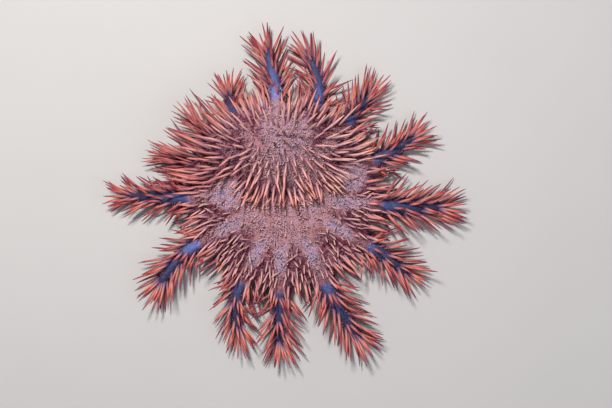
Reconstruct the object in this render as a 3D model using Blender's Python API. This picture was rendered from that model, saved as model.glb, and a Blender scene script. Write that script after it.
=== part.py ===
"""Crown-of-thorns starfish, life size, at rest on a flat floor.

The flesh is a broad disc with fourteen arms. It is first laid out flat, and the
lift function then raises the side of the disc that the animal humps up. Each arm
is a node of its own, parted from the disc by a thin upright cut at its root.
The spines are fused into the node that they grow from.

Frame: metres, +Z up, origin on the floor under the middle of the animal.
"""

import math
import random
from dataclasses import dataclass

import bmesh
import bpy
from mathutils import Quaternion, Vector
from mathutils.bvhtree import BVHTree

MM = 0.001
SEED = 41

# Disc, laid flat
WEB_RADIUS = 94 * MM
DISC_TOP = 29 * MM
DISC_RIM_HEIGHT = 8 * MM
DISC_UNDERSIDE = 3 * MM
DISC_SHOULDER_POWER = 0.5
WEB_SCALLOP = 0.05
SCALLOP_WIDTH = math.radians(14.3)
HUMP_BULGE = 0.05
HUMP_BULGE_BEARING = 152.0
HUMP_BULGE_SPAN = 62.0
MOUTH_RADIUS = 11 * MM
MOUTH_DEPTH = 9 * MM
DISC_SIDES_PER_ARM = 4
DISC_RINGS = 14
MOUTH_SIDES = 14
MOUTH_RINGS = 8

# Hump: a smooth mound that lifts the flat body, with its own reach on each side
HUMP_PEAK = Vector((-4 * MM, 62 * MM))
HUMP_HEIGHT = 32 * MM
HUMP_LEFT = 124 * MM
HUMP_RIGHT = 88 * MM
HUMP_FRONT = 64 * MM
HUMP_BACK = 76 * MM
HUMP_UNDERSIDE_SHARE = 0.86

# Arms, laid flat
MOUTH_EDGE = 15 * MM
ROOT_RADIUS = 101 * MM
NODE_GAP = 0.3 * MM
ARM_HALF_WIDTH = 14.5 * MM
ARM_END_HALF_WIDTH = 5.2 * MM
ARM_TAPER_POWER = 1.25
ARM_CREST = 29 * MM
ARM_END_CREST = 9.5 * MM
CREST_TAPER_POWER = 1.3
ARM_BELLY_SHARE = 0.36
ARM_TIP_LENGTH = 9 * MM
GROOVE_DEPTH = 3 * MM
FLAT_SHARE = 0.6
GROOVE_SHARE = 0.99
CREST_FULLNESS = 0.9
BURIED_CREST_SHARE = 0.8
SECTOR_SHARE = 0.95
SWEEP_POWER = 1.5
TIP_ROUNDING = 0.9
LIMB_SIDES = 14
STUB_RINGS = 7
LIMB_RINGS = 8

# Spines
SPINE_BASE_RADIUS = 1.6 * MM
SPINE_MID_RADIUS = 1.25 * MM
SPINE_MID_SHARE = 0.45
SPINE_SUNK = 4.5 * MM
SPINE_SIDES = 4
SPINE_GAP = 0.5 * MM
FLOOR_GAP = 1.2 * MM
SPINE_DROOP = 0.08
SHORTER = (1.0, 0.85, 0.7)
TURNS = 10
TURN_STEP = math.radians(3)
SAMPLES = 6
OWN_FLESH_SAMPLE = 2

# Spines of the disc: how they lean, by their place
DISC_SPINES = 210
UPRIGHT_SPINE_LENGTH = 23 * MM
LEANING_SPINE_LENGTH = 31.5 * MM
DISC_LENGTH_SPREAD = (0.88, 1.08)
HUMP_LEAN_FROM, HUMP_LEAN_TO = 0.1, 0.55
RIM_LEAN_FROM, RIM_LEAN_TO = 0.66 * WEB_RADIUS, 0.96 * WEB_RADIUS
SKIN_PULL, OUTWARD_PULL, UPWARD_PULL = 0.75, 1.3, 0.15
DROP_HEIGHT = 200 * MM

# Spines of the arms: (degrees round the section from the left side, share of full length)
SIDE_ROWS = ((8, 1.0), (172, 1.0))
CREST_ROWS = ((14, 1.0), (166, 1.0), (52, 0.95), (128, 0.95))
ROW_SPREAD = 5.0
ARM_SPINE_LENGTH = 31.5 * MM
ARM_LENGTH_SPREAD = (0.9, 1.08)
ARM_SPINE_STEP = 9.5 * MM
ROW_START = 7 * MM
ROW_END = 5 * MM
ROOT_FORWARD, TIP_FORWARD = 0.85, 1.6
ARM_UPWARD_PULL = 0.12
TIP_SPINES = 5
TIP_INSET = 5 * MM
TIP_SPINE_SHARE = 0.95
FAN_FROM, FAN_TO = 15.0, 165.0
FAN_FORWARD, FAN_SIDE_LOSS = 1.6, 0.8

DISC_COLOUR, DISC_ROUGHNESS = (0.30, 0.13, 0.16), 0.6
ARM_COLOUR, ARM_ROUGHNESS = (0.42, 0.10, 0.07), 0.55

GOLDEN_ANGLE = math.pi * (3 - math.sqrt(5))
UP = Vector((0, 0, 1))


@dataclass(frozen=True)
class Arm:
    """One arm in plan: where it leaves the disc, how far its flesh reaches and how its end swings."""

    name: str
    bearing: float
    reach: float
    sweep: float = 0.0
    girth: float = 1.0

    @property
    def length(self):
        return self.reach - MOUTH_EDGE


# Bearings and sweeps in degrees, anticlockwise from +X. The last three arms of the
# list lie short and slim under the hump's left side.
ARMS = (
    Arm("arm_01", 95.0, 155 * MM, 2.5),
    Arm("arm_02", 71.0, 150 * MM, 12.0, 0.95),
    Arm("arm_03", 49.5, 139 * MM, 1.5),
    Arm("arm_04", 22.5, 148 * MM, 3.0),
    Arm("arm_05", -5.0, 164 * MM, 1.5, 1.06),
    Arm("arm_06", -30.5, 151 * MM, -1.5),
    Arm("arm_07", -65.0, 164 * MM, 3.0, 1.05),
    Arm("arm_08", -93.5, 154 * MM, 2.0),
    Arm("arm_09", -117.0, 149 * MM, 9.5, 0.95),
    Arm("arm_10", -152.0, 160 * MM, 8.0),
    Arm("arm_11", 180.5, 166 * MM, -1.0),
    Arm("arm_12", 121.0, 125 * MM, -4.0, 0.9),
    Arm("arm_13", 159.5, 129 * MM, 2.0, 0.86),
    Arm("arm_14", 140.5, 124 * MM, -1.0, 0.84),
)


def clear_scene():
    """Removes every object of the scene that the script is run in."""
    for obj in list(bpy.data.objects):
        bpy.data.objects.remove(obj, do_unlink=True)


def lerp(a, b, share):
    """The value a share of the way from a to b."""
    return a + (b - a) * share


def ramp(value, low, high):
    """0 up to low, 1 from high on, and straight between them."""
    return min(1.0, max(0.0, (value - low) / (high - low)))


def hump_distance(x, y):
    """How far a plan point is from the hump's peak, as a share of the hump's reach that way."""
    across, along = x - HUMP_PEAK.x, y - HUMP_PEAK.y
    wide = HUMP_RIGHT if across > 0 else HUMP_LEFT
    deep = HUMP_BACK if along > 0 else HUMP_FRONT
    return math.hypot(across / wide, along / deep)


def lift(x, y):
    """Height by which the hump raises the flat body at a plan point."""
    share = min(hump_distance(x, y), 1.0)
    return HUMP_HEIGHT * (1 - share * share) ** 2


def lifted(point, underside):
    """The flat-laid point raised by the hump, a little less on the underside."""
    share = HUMP_UNDERSIDE_SHARE if underside else 1.0
    return Vector((point.x, point.y, point.z + lift(point.x, point.y) * share))


def turn_between(first, second):
    """The angle between two bearings, in radians and never negative."""
    return abs((first - second + math.pi) % (2 * math.pi) - math.pi)


def web_radius(bearing):
    """Radius of the disc: drawn in between two arms, and bulging on the hump's left side."""
    nearest = min(turn_between(bearing, math.radians(arm.bearing)) for arm in ARMS)
    off_bulge = turn_between(bearing, math.radians(HUMP_BULGE_BEARING))
    bulge = HUMP_BULGE * (1 - ramp(off_bulge, 0, math.radians(HUMP_BULGE_SPAN)) ** 2)
    return WEB_RADIUS * (1 + bulge - WEB_SCALLOP * min(1.0, nearest / SCALLOP_WIDTH))


def disc_point(azimuth, polar):
    """A point of the disc for a direction on the unit sphere."""
    radius = web_radius(azimuth) * math.sin(polar)
    rise = abs(math.cos(polar)) ** DISC_SHOULDER_POWER
    upper = polar <= math.pi / 2
    height = lerp(DISC_RIM_HEIGHT, DISC_TOP if upper else DISC_UNDERSIDE, rise)
    flat = Vector((radius * math.cos(azimuth), radius * math.sin(azimuth), height))
    return lifted(flat, not upper)


def arm_share(arm, radius):
    """How far along the arm a radius is, from 0 at the mouth to 1 at the tip."""
    return min(1.0, max(0.0, (radius - MOUTH_EDGE) / arm.length))


def arm_bearing(arm, radius):
    """Bearing of the arm's middle line at a distance from the disc's centre."""
    past_root = max(0.0, (radius - ROOT_RADIUS) / (arm.reach - ROOT_RADIUS))
    return math.radians(arm.bearing + arm.sweep * past_root ** SWEEP_POWER)


def arm_middle(arm, radius):
    """(plan point, heading, left side) of the arm's middle line."""
    bearing = arm_bearing(arm, radius)
    here = Vector((math.cos(bearing), math.sin(bearing), 0)) * radius
    ahead_radius = radius + MM
    ahead_bearing = arm_bearing(arm, ahead_radius)
    ahead = Vector((math.cos(ahead_bearing), math.sin(ahead_bearing), 0)) * ahead_radius
    heading = (ahead - here).normalized()
    return here, heading, UP.cross(heading)


def arm_half_width(arm, radius):
    """Half width, kept inside the arm's own sector where the arms crowd round the mouth."""
    share = arm_share(arm, radius)
    free = lerp(ARM_HALF_WIDTH, ARM_END_HALF_WIDTH, share ** ARM_TAPER_POWER) * arm.girth
    sector = radius * math.tan(math.pi / len(ARMS)) * SECTOR_SHARE
    return min(free, sector)


def arm_crest(arm, radius):
    """Height of the arm's top, kept below the disc's top near the centre."""
    share = arm_share(arm, radius)
    free = lerp(ARM_CREST, ARM_END_CREST, share ** CREST_TAPER_POWER) * arm.girth
    buried = DISC_TOP * lerp(BURIED_CREST_SHARE, 1.0, min(1.0, radius / WEB_RADIUS))
    return min(free, buried)


def arm_point(arm, radius, angle, scale=1.0):
    """A point of the arm's skin. The angle runs round the section from its left side over the top.

    The underside is flat on both sides of a groove along its middle.
    """
    here, _, side = arm_middle(arm, radius)
    crest = arm_crest(arm, radius)
    belly = crest * ARM_BELLY_SHARE
    across = math.cos(angle) * arm_half_width(arm, radius)
    rise = math.sin(angle)
    if rise >= 0:
        height = lerp(belly, crest, rise ** CREST_FULLNESS)
    elif -rise > GROOVE_SHARE:
        height = GROOVE_DEPTH
    else:
        height = max(0.0, belly * (1 + rise / FLAT_SHARE))
    flat = here + side * across * scale
    flat.z = lerp(belly, height, scale)
    return lifted(flat, rise < 0)


def link(name, bm, collection):
    """A new mesh object from a bmesh, with its faces pointing out."""
    bmesh.ops.recalc_face_normals(bm, faces=bm.faces)
    if bm.calc_volume(signed=True) < 0:
        bmesh.ops.reverse_faces(bm, faces=bm.faces)
    mesh = bpy.data.meshes.new(name)
    bm.to_mesh(mesh)
    bm.free()
    obj = bpy.data.objects.new(name, mesh)
    collection.objects.link(obj)
    return obj


def make_disc_blob(collection):
    """The disc without its arms: a sphere's rings laid out by disc_point."""
    bm = bmesh.new()
    sides = len(ARMS) * DISC_SIDES_PER_ARM
    bmesh.ops.create_uvsphere(bm, u_segments=sides, v_segments=DISC_RINGS, radius=1)
    for vert in bm.verts:
        azimuth = math.atan2(vert.co.y, vert.co.x)
        polar = math.acos(max(-1.0, min(1.0, vert.co.z)))
        vert.co = disc_point(azimuth, polar)
    return link("disc_blob", bm, collection)


def make_limb(name, arm, start, end, rings, round_end, collection):
    """A stretch of an arm from one radius to another: a sphere whose rings are the arm's sections."""
    bm = bmesh.new()
    bmesh.ops.create_uvsphere(bm, u_segments=LIMB_SIDES, v_segments=rings + 1, radius=1)
    for vert in bm.verts:
        polar = math.acos(max(-1.0, min(1.0, vert.co.z)))
        ring = round(polar / math.pi * (rings + 1))
        step = round(math.atan2(vert.co.y, vert.co.x) / (2 * math.pi) * LIMB_SIDES)
        angle = 1.5 * math.pi + 2 * math.pi * step / LIMB_SIDES
        along = min(1.0, max(0.0, (ring - 1) / (rings - 1)))
        radius = lerp(start, end, along)
        scale = 0.0 if ring in (0, rings + 1) else 1.0
        if round_end:
            past = max(0.0, radius - (end - ARM_TIP_LENGTH)) / ARM_TIP_LENGTH
            scale *= math.sqrt(1 - (past * TIP_ROUNDING) ** 2)
        vert.co = arm_point(arm, radius, angle, scale)
    return link(name, bm, collection)


def make_mouth_cutter(collection):
    """The hollow of the mouth, in the middle of the underside."""
    bm = bmesh.new()
    bmesh.ops.create_uvsphere(bm, u_segments=MOUTH_SIDES, v_segments=MOUTH_RINGS, radius=1)
    bmesh.ops.scale(bm, vec=(MOUTH_RADIUS, MOUTH_RADIUS, MOUTH_DEPTH), verts=bm.verts)
    cutter = link("mouth_cutter", bm, collection)
    cutter.hide_render = True
    cutter.display_type = "WIRE"
    return cutter


def tree_of(objects):
    """One search tree over the surfaces of several mesh objects."""
    points, faces = [], []
    for obj in objects:
        first = len(points)
        points += [vert.co.copy() for vert in obj.data.vertices]
        faces += [[first + index for index in face.vertices] for face in obj.data.polygons]
    return BVHTree.FromPolygons(points, faces)


@dataclass
class Spine:
    """A tapered spine through three points: its sunk root, its bend and its tip."""

    node: str
    root: Vector
    bend: Vector
    tip: Vector

    def stretches(self):
        yield self.root, self.bend, SPINE_BASE_RADIUS
        yield self.bend, self.tip, SPINE_MID_RADIUS


def new_spine(node, base, direction, length):
    """A spine on the skin at base, with its outer part turned down a little."""
    heading = direction.normalized()
    bend = base + heading * length * SPINE_MID_SHARE
    outer = (heading - UP * SPINE_DROOP).normalized()
    tip = bend + outer * length * (1 - SPINE_MID_SHARE)
    return Spine(node, base - heading * SPINE_SUNK, bend, tip)


def stretch_distance(a0, a1, b0, b1):
    """Least distance between two straight stretches."""
    u, v, w = a1 - a0, b1 - b0, a0 - b0
    a, b, c, d, e = u.dot(u), u.dot(v), v.dot(v), u.dot(w), v.dot(w)
    parallel = a * c - b * b
    s = 0.0 if parallel < 1e-12 else min(1.0, max(0.0, (b * e - c * d) / parallel))
    t = min(1.0, max(0.0, (b * s + e) / c))
    s = min(1.0, max(0.0, (b * t - d) / a))
    return (w + u * s - v * t).length


class Thicket:
    """Places spines one by one, each clear of the others, of other nodes' flesh and of the floor."""

    def __init__(self, flesh_trees):
        self.flesh_trees = flesh_trees
        self.spines = []
        self.rng = random.Random(SEED)

    def clear_of_spines(self, spine):
        for other in self.spines:
            if (other.bend - spine.bend).length > 2 * ARM_SPINE_LENGTH:
                continue
            for a0, a1, a_radius in spine.stretches():
                for b0, b1, b_radius in other.stretches():
                    if stretch_distance(a0, a1, b0, b1) < a_radius + b_radius + SPINE_GAP:
                        return False
        return True

    def clear_of_flesh(self, spine):
        """Whether it misses every other node's flesh, and its own node's beyond the bend."""
        for node, tree in self.flesh_trees.items():
            own = node == spine.node
            for start, end, radius in spine.stretches():
                if own and start is spine.root:
                    continue
                for step in range(OWN_FLESH_SAMPLE if own else 0, SAMPLES + 1):
                    point = start.lerp(end, step / SAMPLES)
                    if tree.find_nearest(point, radius + SPINE_GAP)[0] is not None:
                        return False
        return True

    def clear_of_floor(self, spine):
        return min(spine.bend.z, spine.tip.z) > SPINE_BASE_RADIUS + FLOOR_GAP

    def is_free(self, spine):
        return (
            self.clear_of_floor(spine)
            and self.clear_of_spines(spine)
            and self.clear_of_flesh(spine)
        )

    def place(self, node, base, direction, length):
        """Adds the spine, turned aside or shortened where it has to be, or leaves it out."""
        for share in SHORTER:
            for turn in range(TURNS):
                axis = Vector([self.rng.uniform(-1, 1) for _ in range(3)]).normalized()
                wanted = Quaternion(axis, TURN_STEP * turn) @ direction
                spine = new_spine(node, base, wanted, length * share)
                if self.is_free(spine):
                    self.spines.append(spine)
                    return


def comb(point, normal):
    """(direction, lean share) of a disc spine.

    It is upright on the hump's top and in the hollow before it, and leans outward on the slopes.
    """
    share = hump_distance(point.x, point.y)
    from_peak = Vector((point.x - HUMP_PEAK.x, point.y - HUMP_PEAK.y, 0))
    from_centre = Vector((point.x, point.y, 0))
    hump_lean = ramp(share, HUMP_LEAN_FROM, HUMP_LEAN_TO) if share < 1 else 0.0
    rim_lean = ramp(from_centre.length, RIM_LEAN_FROM, RIM_LEAN_TO)
    outward = from_peak.normalized() * hump_lean + from_centre.normalized() * rim_lean
    direction = normal * SKIN_PULL + outward * OUTWARD_PULL + UP * UPWARD_PULL
    return direction, max(hump_lean, rim_lean)


def plant_disc(thicket, tree):
    """Spines over the disc on a sunflower spiral, dropped straight down onto its skin."""
    for index in range(DISC_SPINES):
        radius = (ROOT_RADIUS - NODE_GAP) * math.sqrt((index + 0.5) / DISC_SPINES)
        angle = index * GOLDEN_ANGLE
        start = Vector((radius * math.cos(angle), radius * math.sin(angle), DROP_HEIGHT))
        point, normal, _, _ = tree.ray_cast(start, -UP)
        if point is None:
            continue
        direction, lean = comb(point, normal)
        length = lerp(UPRIGHT_SPINE_LENGTH, LEANING_SPINE_LENGTH, lean)
        spread = thicket.rng.uniform(*DISC_LENGTH_SPREAD)
        thicket.place("disc", point, direction, length * spread)


def plant_arm(thicket, arm):
    """Rows of spines along both sides and the crest of an arm, and a fan at its tip."""
    first, last = ROOT_RADIUS + ROW_START, arm.reach - ROW_END
    steps = max(2, round((last - first) / ARM_SPINE_STEP))
    for step in range(steps):
        share = (step + 0.5) / steps
        forward = lerp(ROOT_FORWARD, TIP_FORWARD, share)
        for degrees, size in SIDE_ROWS if step % 2 else CREST_ROWS:
            turn = math.radians(degrees + thicket.rng.uniform(-ROW_SPREAD, ROW_SPREAD))
            plant_on_arm(thicket, arm, lerp(first, last, share), turn, forward, size)
    for index in range(TIP_SPINES):
        turn = math.radians(lerp(FAN_FROM, FAN_TO, index / (TIP_SPINES - 1)))
        forward = FAN_FORWARD - FAN_SIDE_LOSS * abs(math.cos(turn))
        plant_on_arm(thicket, arm, arm.reach - TIP_INSET, turn, forward, TIP_SPINE_SHARE)


def plant_on_arm(thicket, arm, radius, angle, forward, size):
    """One spine on an arm, leaning towards the arm's tip by the forward share."""
    _, heading, side = arm_middle(arm, radius)
    base = arm_point(arm, radius, angle)
    outward = side * math.cos(angle) + UP * math.sin(angle)
    direction = outward + heading * forward + UP * ARM_UPWARD_PULL
    spread = thicket.rng.uniform(*ARM_LENGTH_SPREAD)
    thicket.place(arm.name, base, direction, ARM_SPINE_LENGTH * size * arm.girth * spread)


def make_spine_mesh(name, spine, collection):
    """A four-sided spine: a thick sunk foot, a slimmer bend and a sharp tip."""
    bm = bmesh.new()
    heading = (spine.bend - spine.root).normalized()
    side = heading.cross(UP if abs(heading.z) < 0.9 else Vector((1, 0, 0))).normalized()
    other = heading.cross(side)

    def ring(middle, radius):
        turns = [2 * math.pi * k / SPINE_SIDES for k in range(SPINE_SIDES)]
        return [
            bm.verts.new(middle + (side * math.cos(a) + other * math.sin(a)) * radius)
            for a in turns
        ]

    foot = ring(spine.root, SPINE_BASE_RADIUS)
    bend = ring(spine.bend, SPINE_MID_RADIUS)
    tip = bm.verts.new(spine.tip)
    bm.faces.new(foot[::-1])
    for k in range(SPINE_SIDES):
        after = (k + 1) % SPINE_SIDES
        bm.faces.new((foot[k], foot[after], bend[after], bend[k]))
        bm.faces.new((bend[k], bend[after], tip))
    bmesh.ops.triangulate(bm, faces=bm.faces)
    return link(name, bm, collection)


def keep_largest(mesh):
    """Deletes every loose scrap and keeps the largest closed surface."""
    bm = bmesh.new()
    bm.from_mesh(mesh)
    islands, seen = [], set()
    for seed in bm.faces:
        if seed in seen:
            continue
        island, edge = {seed}, [seed]
        while edge:
            face = edge.pop()
            for vert in face.verts:
                for neighbour in vert.link_faces:
                    if neighbour not in island:
                        island.add(neighbour)
                        edge.append(neighbour)
        seen |= island
        islands.append(island)
    largest = max(islands, key=lambda faces: sum(face.calc_area() for face in faces))
    stray = [face for face in bm.faces if face not in largest]
    bmesh.ops.delete(bm, geom=stray, context="FACES")
    bm.to_mesh(mesh)
    bm.free()


def bake_modifiers(obj):
    """Replaces the object's mesh by the one its modifiers give."""
    graph = bpy.context.evaluated_depsgraph_get()
    mesh = bpy.data.meshes.new_from_object(obj.evaluated_get(graph))
    obj.modifiers.clear()
    obj.data = mesh


def fuse(name, first, pieces, cutters, material, collection):
    """Joins the pieces into the first by one Boolean union, cuts it, and makes it the node."""
    group = bpy.data.collections.new(name + "_pieces")
    bpy.context.scene.collection.children.link(group)
    for piece in pieces:
        for owner in piece.users_collection:
            owner.objects.unlink(piece)
        group.objects.link(piece)
    union = first.modifiers.new("join", "BOOLEAN")
    union.operation = "UNION"
    union.operand_type = "COLLECTION"
    union.collection = group
    union.solver = "MANIFOLD"
    for cutter in cutters:
        cut = first.modifiers.new("cut", "BOOLEAN")
        cut.operation = "DIFFERENCE"
        cut.object = cutter
        cut.solver = "MANIFOLD"
    bake_modifiers(first)
    keep_largest(first.data)
    for piece in list(group.objects):
        bpy.data.objects.remove(piece, do_unlink=True)
    bpy.data.collections.remove(group)
    first.name = name
    for owner in first.users_collection:
        owner.objects.unlink(first)
    collection.objects.link(first)
    first.data.materials.clear()
    first.data.materials.append(material)


def make_material(name, colour, roughness):
    """A plain Principled BSDF of one colour."""
    material = bpy.data.materials.new(name)
    material.use_nodes = True
    shader = material.node_tree.nodes["Principled BSDF"]
    shader.inputs["Base Color"].default_value = (*colour, 1)
    shader.inputs["Roughness"].default_value = roughness
    shader.inputs["Metallic"].default_value = 0
    return material


def main():
    clear_scene()
    scene = bpy.context.scene.collection
    body = bpy.data.collections.new("crown_of_thorns_starfish")
    cutters = bpy.data.collections.new("cutters")
    scene.children.link(body)
    scene.children.link(cutters)

    blob = make_disc_blob(body)
    mouth = make_mouth_cutter(cutters)
    stubs, limbs = [], {}
    for arm in ARMS:
        near, far = ROOT_RADIUS - NODE_GAP / 2, ROOT_RADIUS + NODE_GAP / 2
        stub = make_limb(arm.name + "_stub", arm, MOUTH_EDGE, near, STUB_RINGS, False, body)
        limb = make_limb(arm.name + "_limb", arm, far, arm.reach, LIMB_RINGS, True, body)
        stubs.append(stub)
        limbs[arm.name] = limb

    trees = {"disc": tree_of([blob, *stubs])}
    trees |= {name: tree_of([limb]) for name, limb in limbs.items()}
    thicket = Thicket(trees)
    for arm in ARMS:
        plant_arm(thicket, arm)
    plant_disc(thicket, trees["disc"])

    spines = {name: [] for name in trees}
    for index, spine in enumerate(thicket.spines):
        spines[spine.node].append(make_spine_mesh(f"spine_{index}", spine, body))
    disc_skin = make_material("disc_skin", DISC_COLOUR, DISC_ROUGHNESS)
    fuse("disc", blob, [*stubs, *spines["disc"]], [mouth], disc_skin, body)
    for name, limb in limbs.items():
        skin = make_material(name + "_skin", ARM_COLOUR, ARM_ROUGHNESS)
        fuse(name, limb, spines[name], [], skin, body)


main()
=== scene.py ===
"""Crown of thorns starfish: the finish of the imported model, life size, as a museum shows it.

One skin covers the disc and the fourteen arms. Over it stand the spines, the papulae
(the small soft gills between the spines), the tube feet in the grooves under the arms
and the blunt spines round the mouth. Each of these is modelled once and copied into
joined meshes. Sizes are in metres. The angles of arms, rows and fans are in degrees.
"""

import logging
import math
from collections.abc import Callable, Sequence
from dataclasses import dataclass, field, fields
from enum import Enum

import bpy
import numpy as np
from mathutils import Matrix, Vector
from mathutils.bvhtree import BVHTree


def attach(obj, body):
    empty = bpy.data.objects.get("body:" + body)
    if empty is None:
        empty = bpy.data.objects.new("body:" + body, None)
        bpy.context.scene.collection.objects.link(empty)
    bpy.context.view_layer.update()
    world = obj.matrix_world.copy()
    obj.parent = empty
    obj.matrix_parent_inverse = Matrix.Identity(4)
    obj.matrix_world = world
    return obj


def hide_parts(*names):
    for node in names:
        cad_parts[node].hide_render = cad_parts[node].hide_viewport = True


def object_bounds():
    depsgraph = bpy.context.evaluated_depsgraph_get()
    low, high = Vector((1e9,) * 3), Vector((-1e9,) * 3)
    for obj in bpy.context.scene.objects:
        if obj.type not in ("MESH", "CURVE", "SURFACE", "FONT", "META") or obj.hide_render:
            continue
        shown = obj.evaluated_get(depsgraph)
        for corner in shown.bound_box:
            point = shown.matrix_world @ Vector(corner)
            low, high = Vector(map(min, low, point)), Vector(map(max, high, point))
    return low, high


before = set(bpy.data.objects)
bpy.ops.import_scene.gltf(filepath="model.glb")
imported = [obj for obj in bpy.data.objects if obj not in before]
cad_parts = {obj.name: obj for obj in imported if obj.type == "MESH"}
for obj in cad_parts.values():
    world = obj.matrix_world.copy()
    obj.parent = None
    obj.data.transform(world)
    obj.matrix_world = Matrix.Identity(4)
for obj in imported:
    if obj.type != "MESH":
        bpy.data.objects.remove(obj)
CAD_LOW, CAD_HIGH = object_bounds()

LOG = logging.getLogger("starfish")
SEED = 7
UP = np.array((0.0, 0.0, 1.0))
DISC_NODE = "disc"
BOX_MARGIN = 0.0004
FLOOR_CLEARANCE = 0.0005
SHORTEST_SHARE = 0.05
GIRTH_SPREAD = (0.85, 1.15)
TINY = 1e-7
ON_AXIS = 1e-6

Colour = tuple[float, float, float]
Stops = Sequence[tuple[float, Colour]]
# Where a ramp starts and ends, the least and the most of a spread, or a place's X and Y.
Span = tuple[float, float]
# The size of blotches, and the values of the noise at which they start and are full.
Mottle = tuple[float, float, float]


class Slot(Enum):
    """The record's material slots."""

    DISC_SKIN = "disc_skin"
    SPINE = "spine"
    PAPULA = "papula"
    TUBE_FOOT = "tube_foot"


def linear(colour: Colour) -> tuple[float, float, float, float]:
    """Turns a colour as it is seen into the linear one that a shader takes.

    Args:
        colour: Red, green and blue from 0 to 255.

    Returns:
        Linear red, green and blue, with full opacity.
    """
    shares = (channel / 255 for channel in colour)
    red, green, blue = (s / 12.92 if s <= 0.04045 else ((s + 0.055) / 1.055) ** 2.4 for s in shares)
    return red, green, blue, 1.0


def ramp(value: np.ndarray, start: float, end: float) -> np.ndarray:
    """Rises smoothly from 0 at start to 1 at end.

    Args:
        value: The numbers to place between start and end.
        start: Where the rise begins.
        end: Where it is complete. It may be less than start.

    Returns:
        An array of shares from 0 to 1.
    """
    share = np.clip((np.asarray(value) - start) / (end - start), 0.0, 1.0)
    return share * share * (3 - 2 * share)


def unit(vectors: np.ndarray) -> np.ndarray:
    """Gives each row a length of 1."""
    return vectors / np.maximum(np.linalg.norm(vectors, axis=-1, keepdims=True), 1e-9)


def on_plan(bearing: np.ndarray, radius: np.ndarray | float) -> np.ndarray:
    """Gives the points on the floor that lie at bearings in radians and distances from the middle."""
    return np.stack((radius * np.cos(bearing), radius * np.sin(bearing), 0 * bearing), axis=1)


def polar_of(points: np.ndarray) -> tuple[np.ndarray, np.ndarray]:
    """Gives the bearings of points in radians, and their distances from the middle, seen from above."""
    return np.arctan2(points[:, 1], points[:, 0]), np.hypot(points[:, 0], points[:, 1])


def turn_between(first: np.ndarray, second: np.ndarray) -> np.ndarray:
    """Gives the signed turn from the second bearing to the first, in radians, from -pi to pi."""
    return (np.asarray(first) - second + math.pi) % (2 * math.pi) - math.pi


@dataclass(frozen=True)
class ArmPlan:
    """One arm as it lies, seen from above.

    Args:
        bearing: Direction of its root from the middle of the disc, anticlockwise from +X.
        reach: Distance of the tip of its flesh from the middle of the disc.
        sweep: How far its tip is turned from that bearing.
        girth: Its stoutness as a share of a full-sized arm's.
        glow: How bright the blue along its crest is, from 0 to 1.
        fade: How quickly that blue darkens towards the tip.
        bare: How much of its crest is free of spines, from 0 to 1.
        plume: How long its spines are as a share of a full arm's.
    """

    name: str
    bearing: float
    reach: float
    sweep: float
    girth: float
    glow: float = 0.5
    fade: float = 0.9
    bare: float = 1.0
    plume: float = 1.0


ARMS = (
    ArmPlan("arm_01", 95.0, 0.155, 2.5, 1.0, glow=1.0, fade=0.6),
    ArmPlan("arm_02", 71.0, 0.150, 12.0, 0.95, glow=0.8, fade=0.75),
    ArmPlan("arm_03", 49.5, 0.139, 1.5, 1.0, glow=0.5),
    ArmPlan("arm_04", 22.5, 0.148, 3.0, 1.0, glow=0.5, plume=0.9),
    ArmPlan("arm_05", -5.0, 0.164, 1.5, 1.06, glow=0.3),
    ArmPlan("arm_06", -30.5, 0.151, -1.5, 1.0, glow=0.45),
    ArmPlan("arm_07", -65.0, 0.164, 3.0, 1.05, glow=0.5),
    ArmPlan("arm_08", -93.5, 0.154, 2.0, 1.0, glow=0.25),
    ArmPlan("arm_09", -117.0, 0.149, 9.5, 0.95, glow=0.45),
    ArmPlan("arm_10", -152.0, 0.160, 8.0, 1.0, glow=0.95, fade=0.8),
    ArmPlan("arm_11", 180.5, 0.166, -1.0, 1.0, glow=0.35, plume=0.88),
    ArmPlan("arm_12", 121.0, 0.125, -4.0, 0.9, glow=0.2),
    ArmPlan("arm_13", 159.5, 0.129, 2.0, 0.86, glow=0.2, bare=0.0, plume=1.1),
    ArmPlan("arm_14", 140.5, 0.124, -1.0, 0.84, glow=0.2, bare=0.0, plume=1.1),
)


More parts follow.
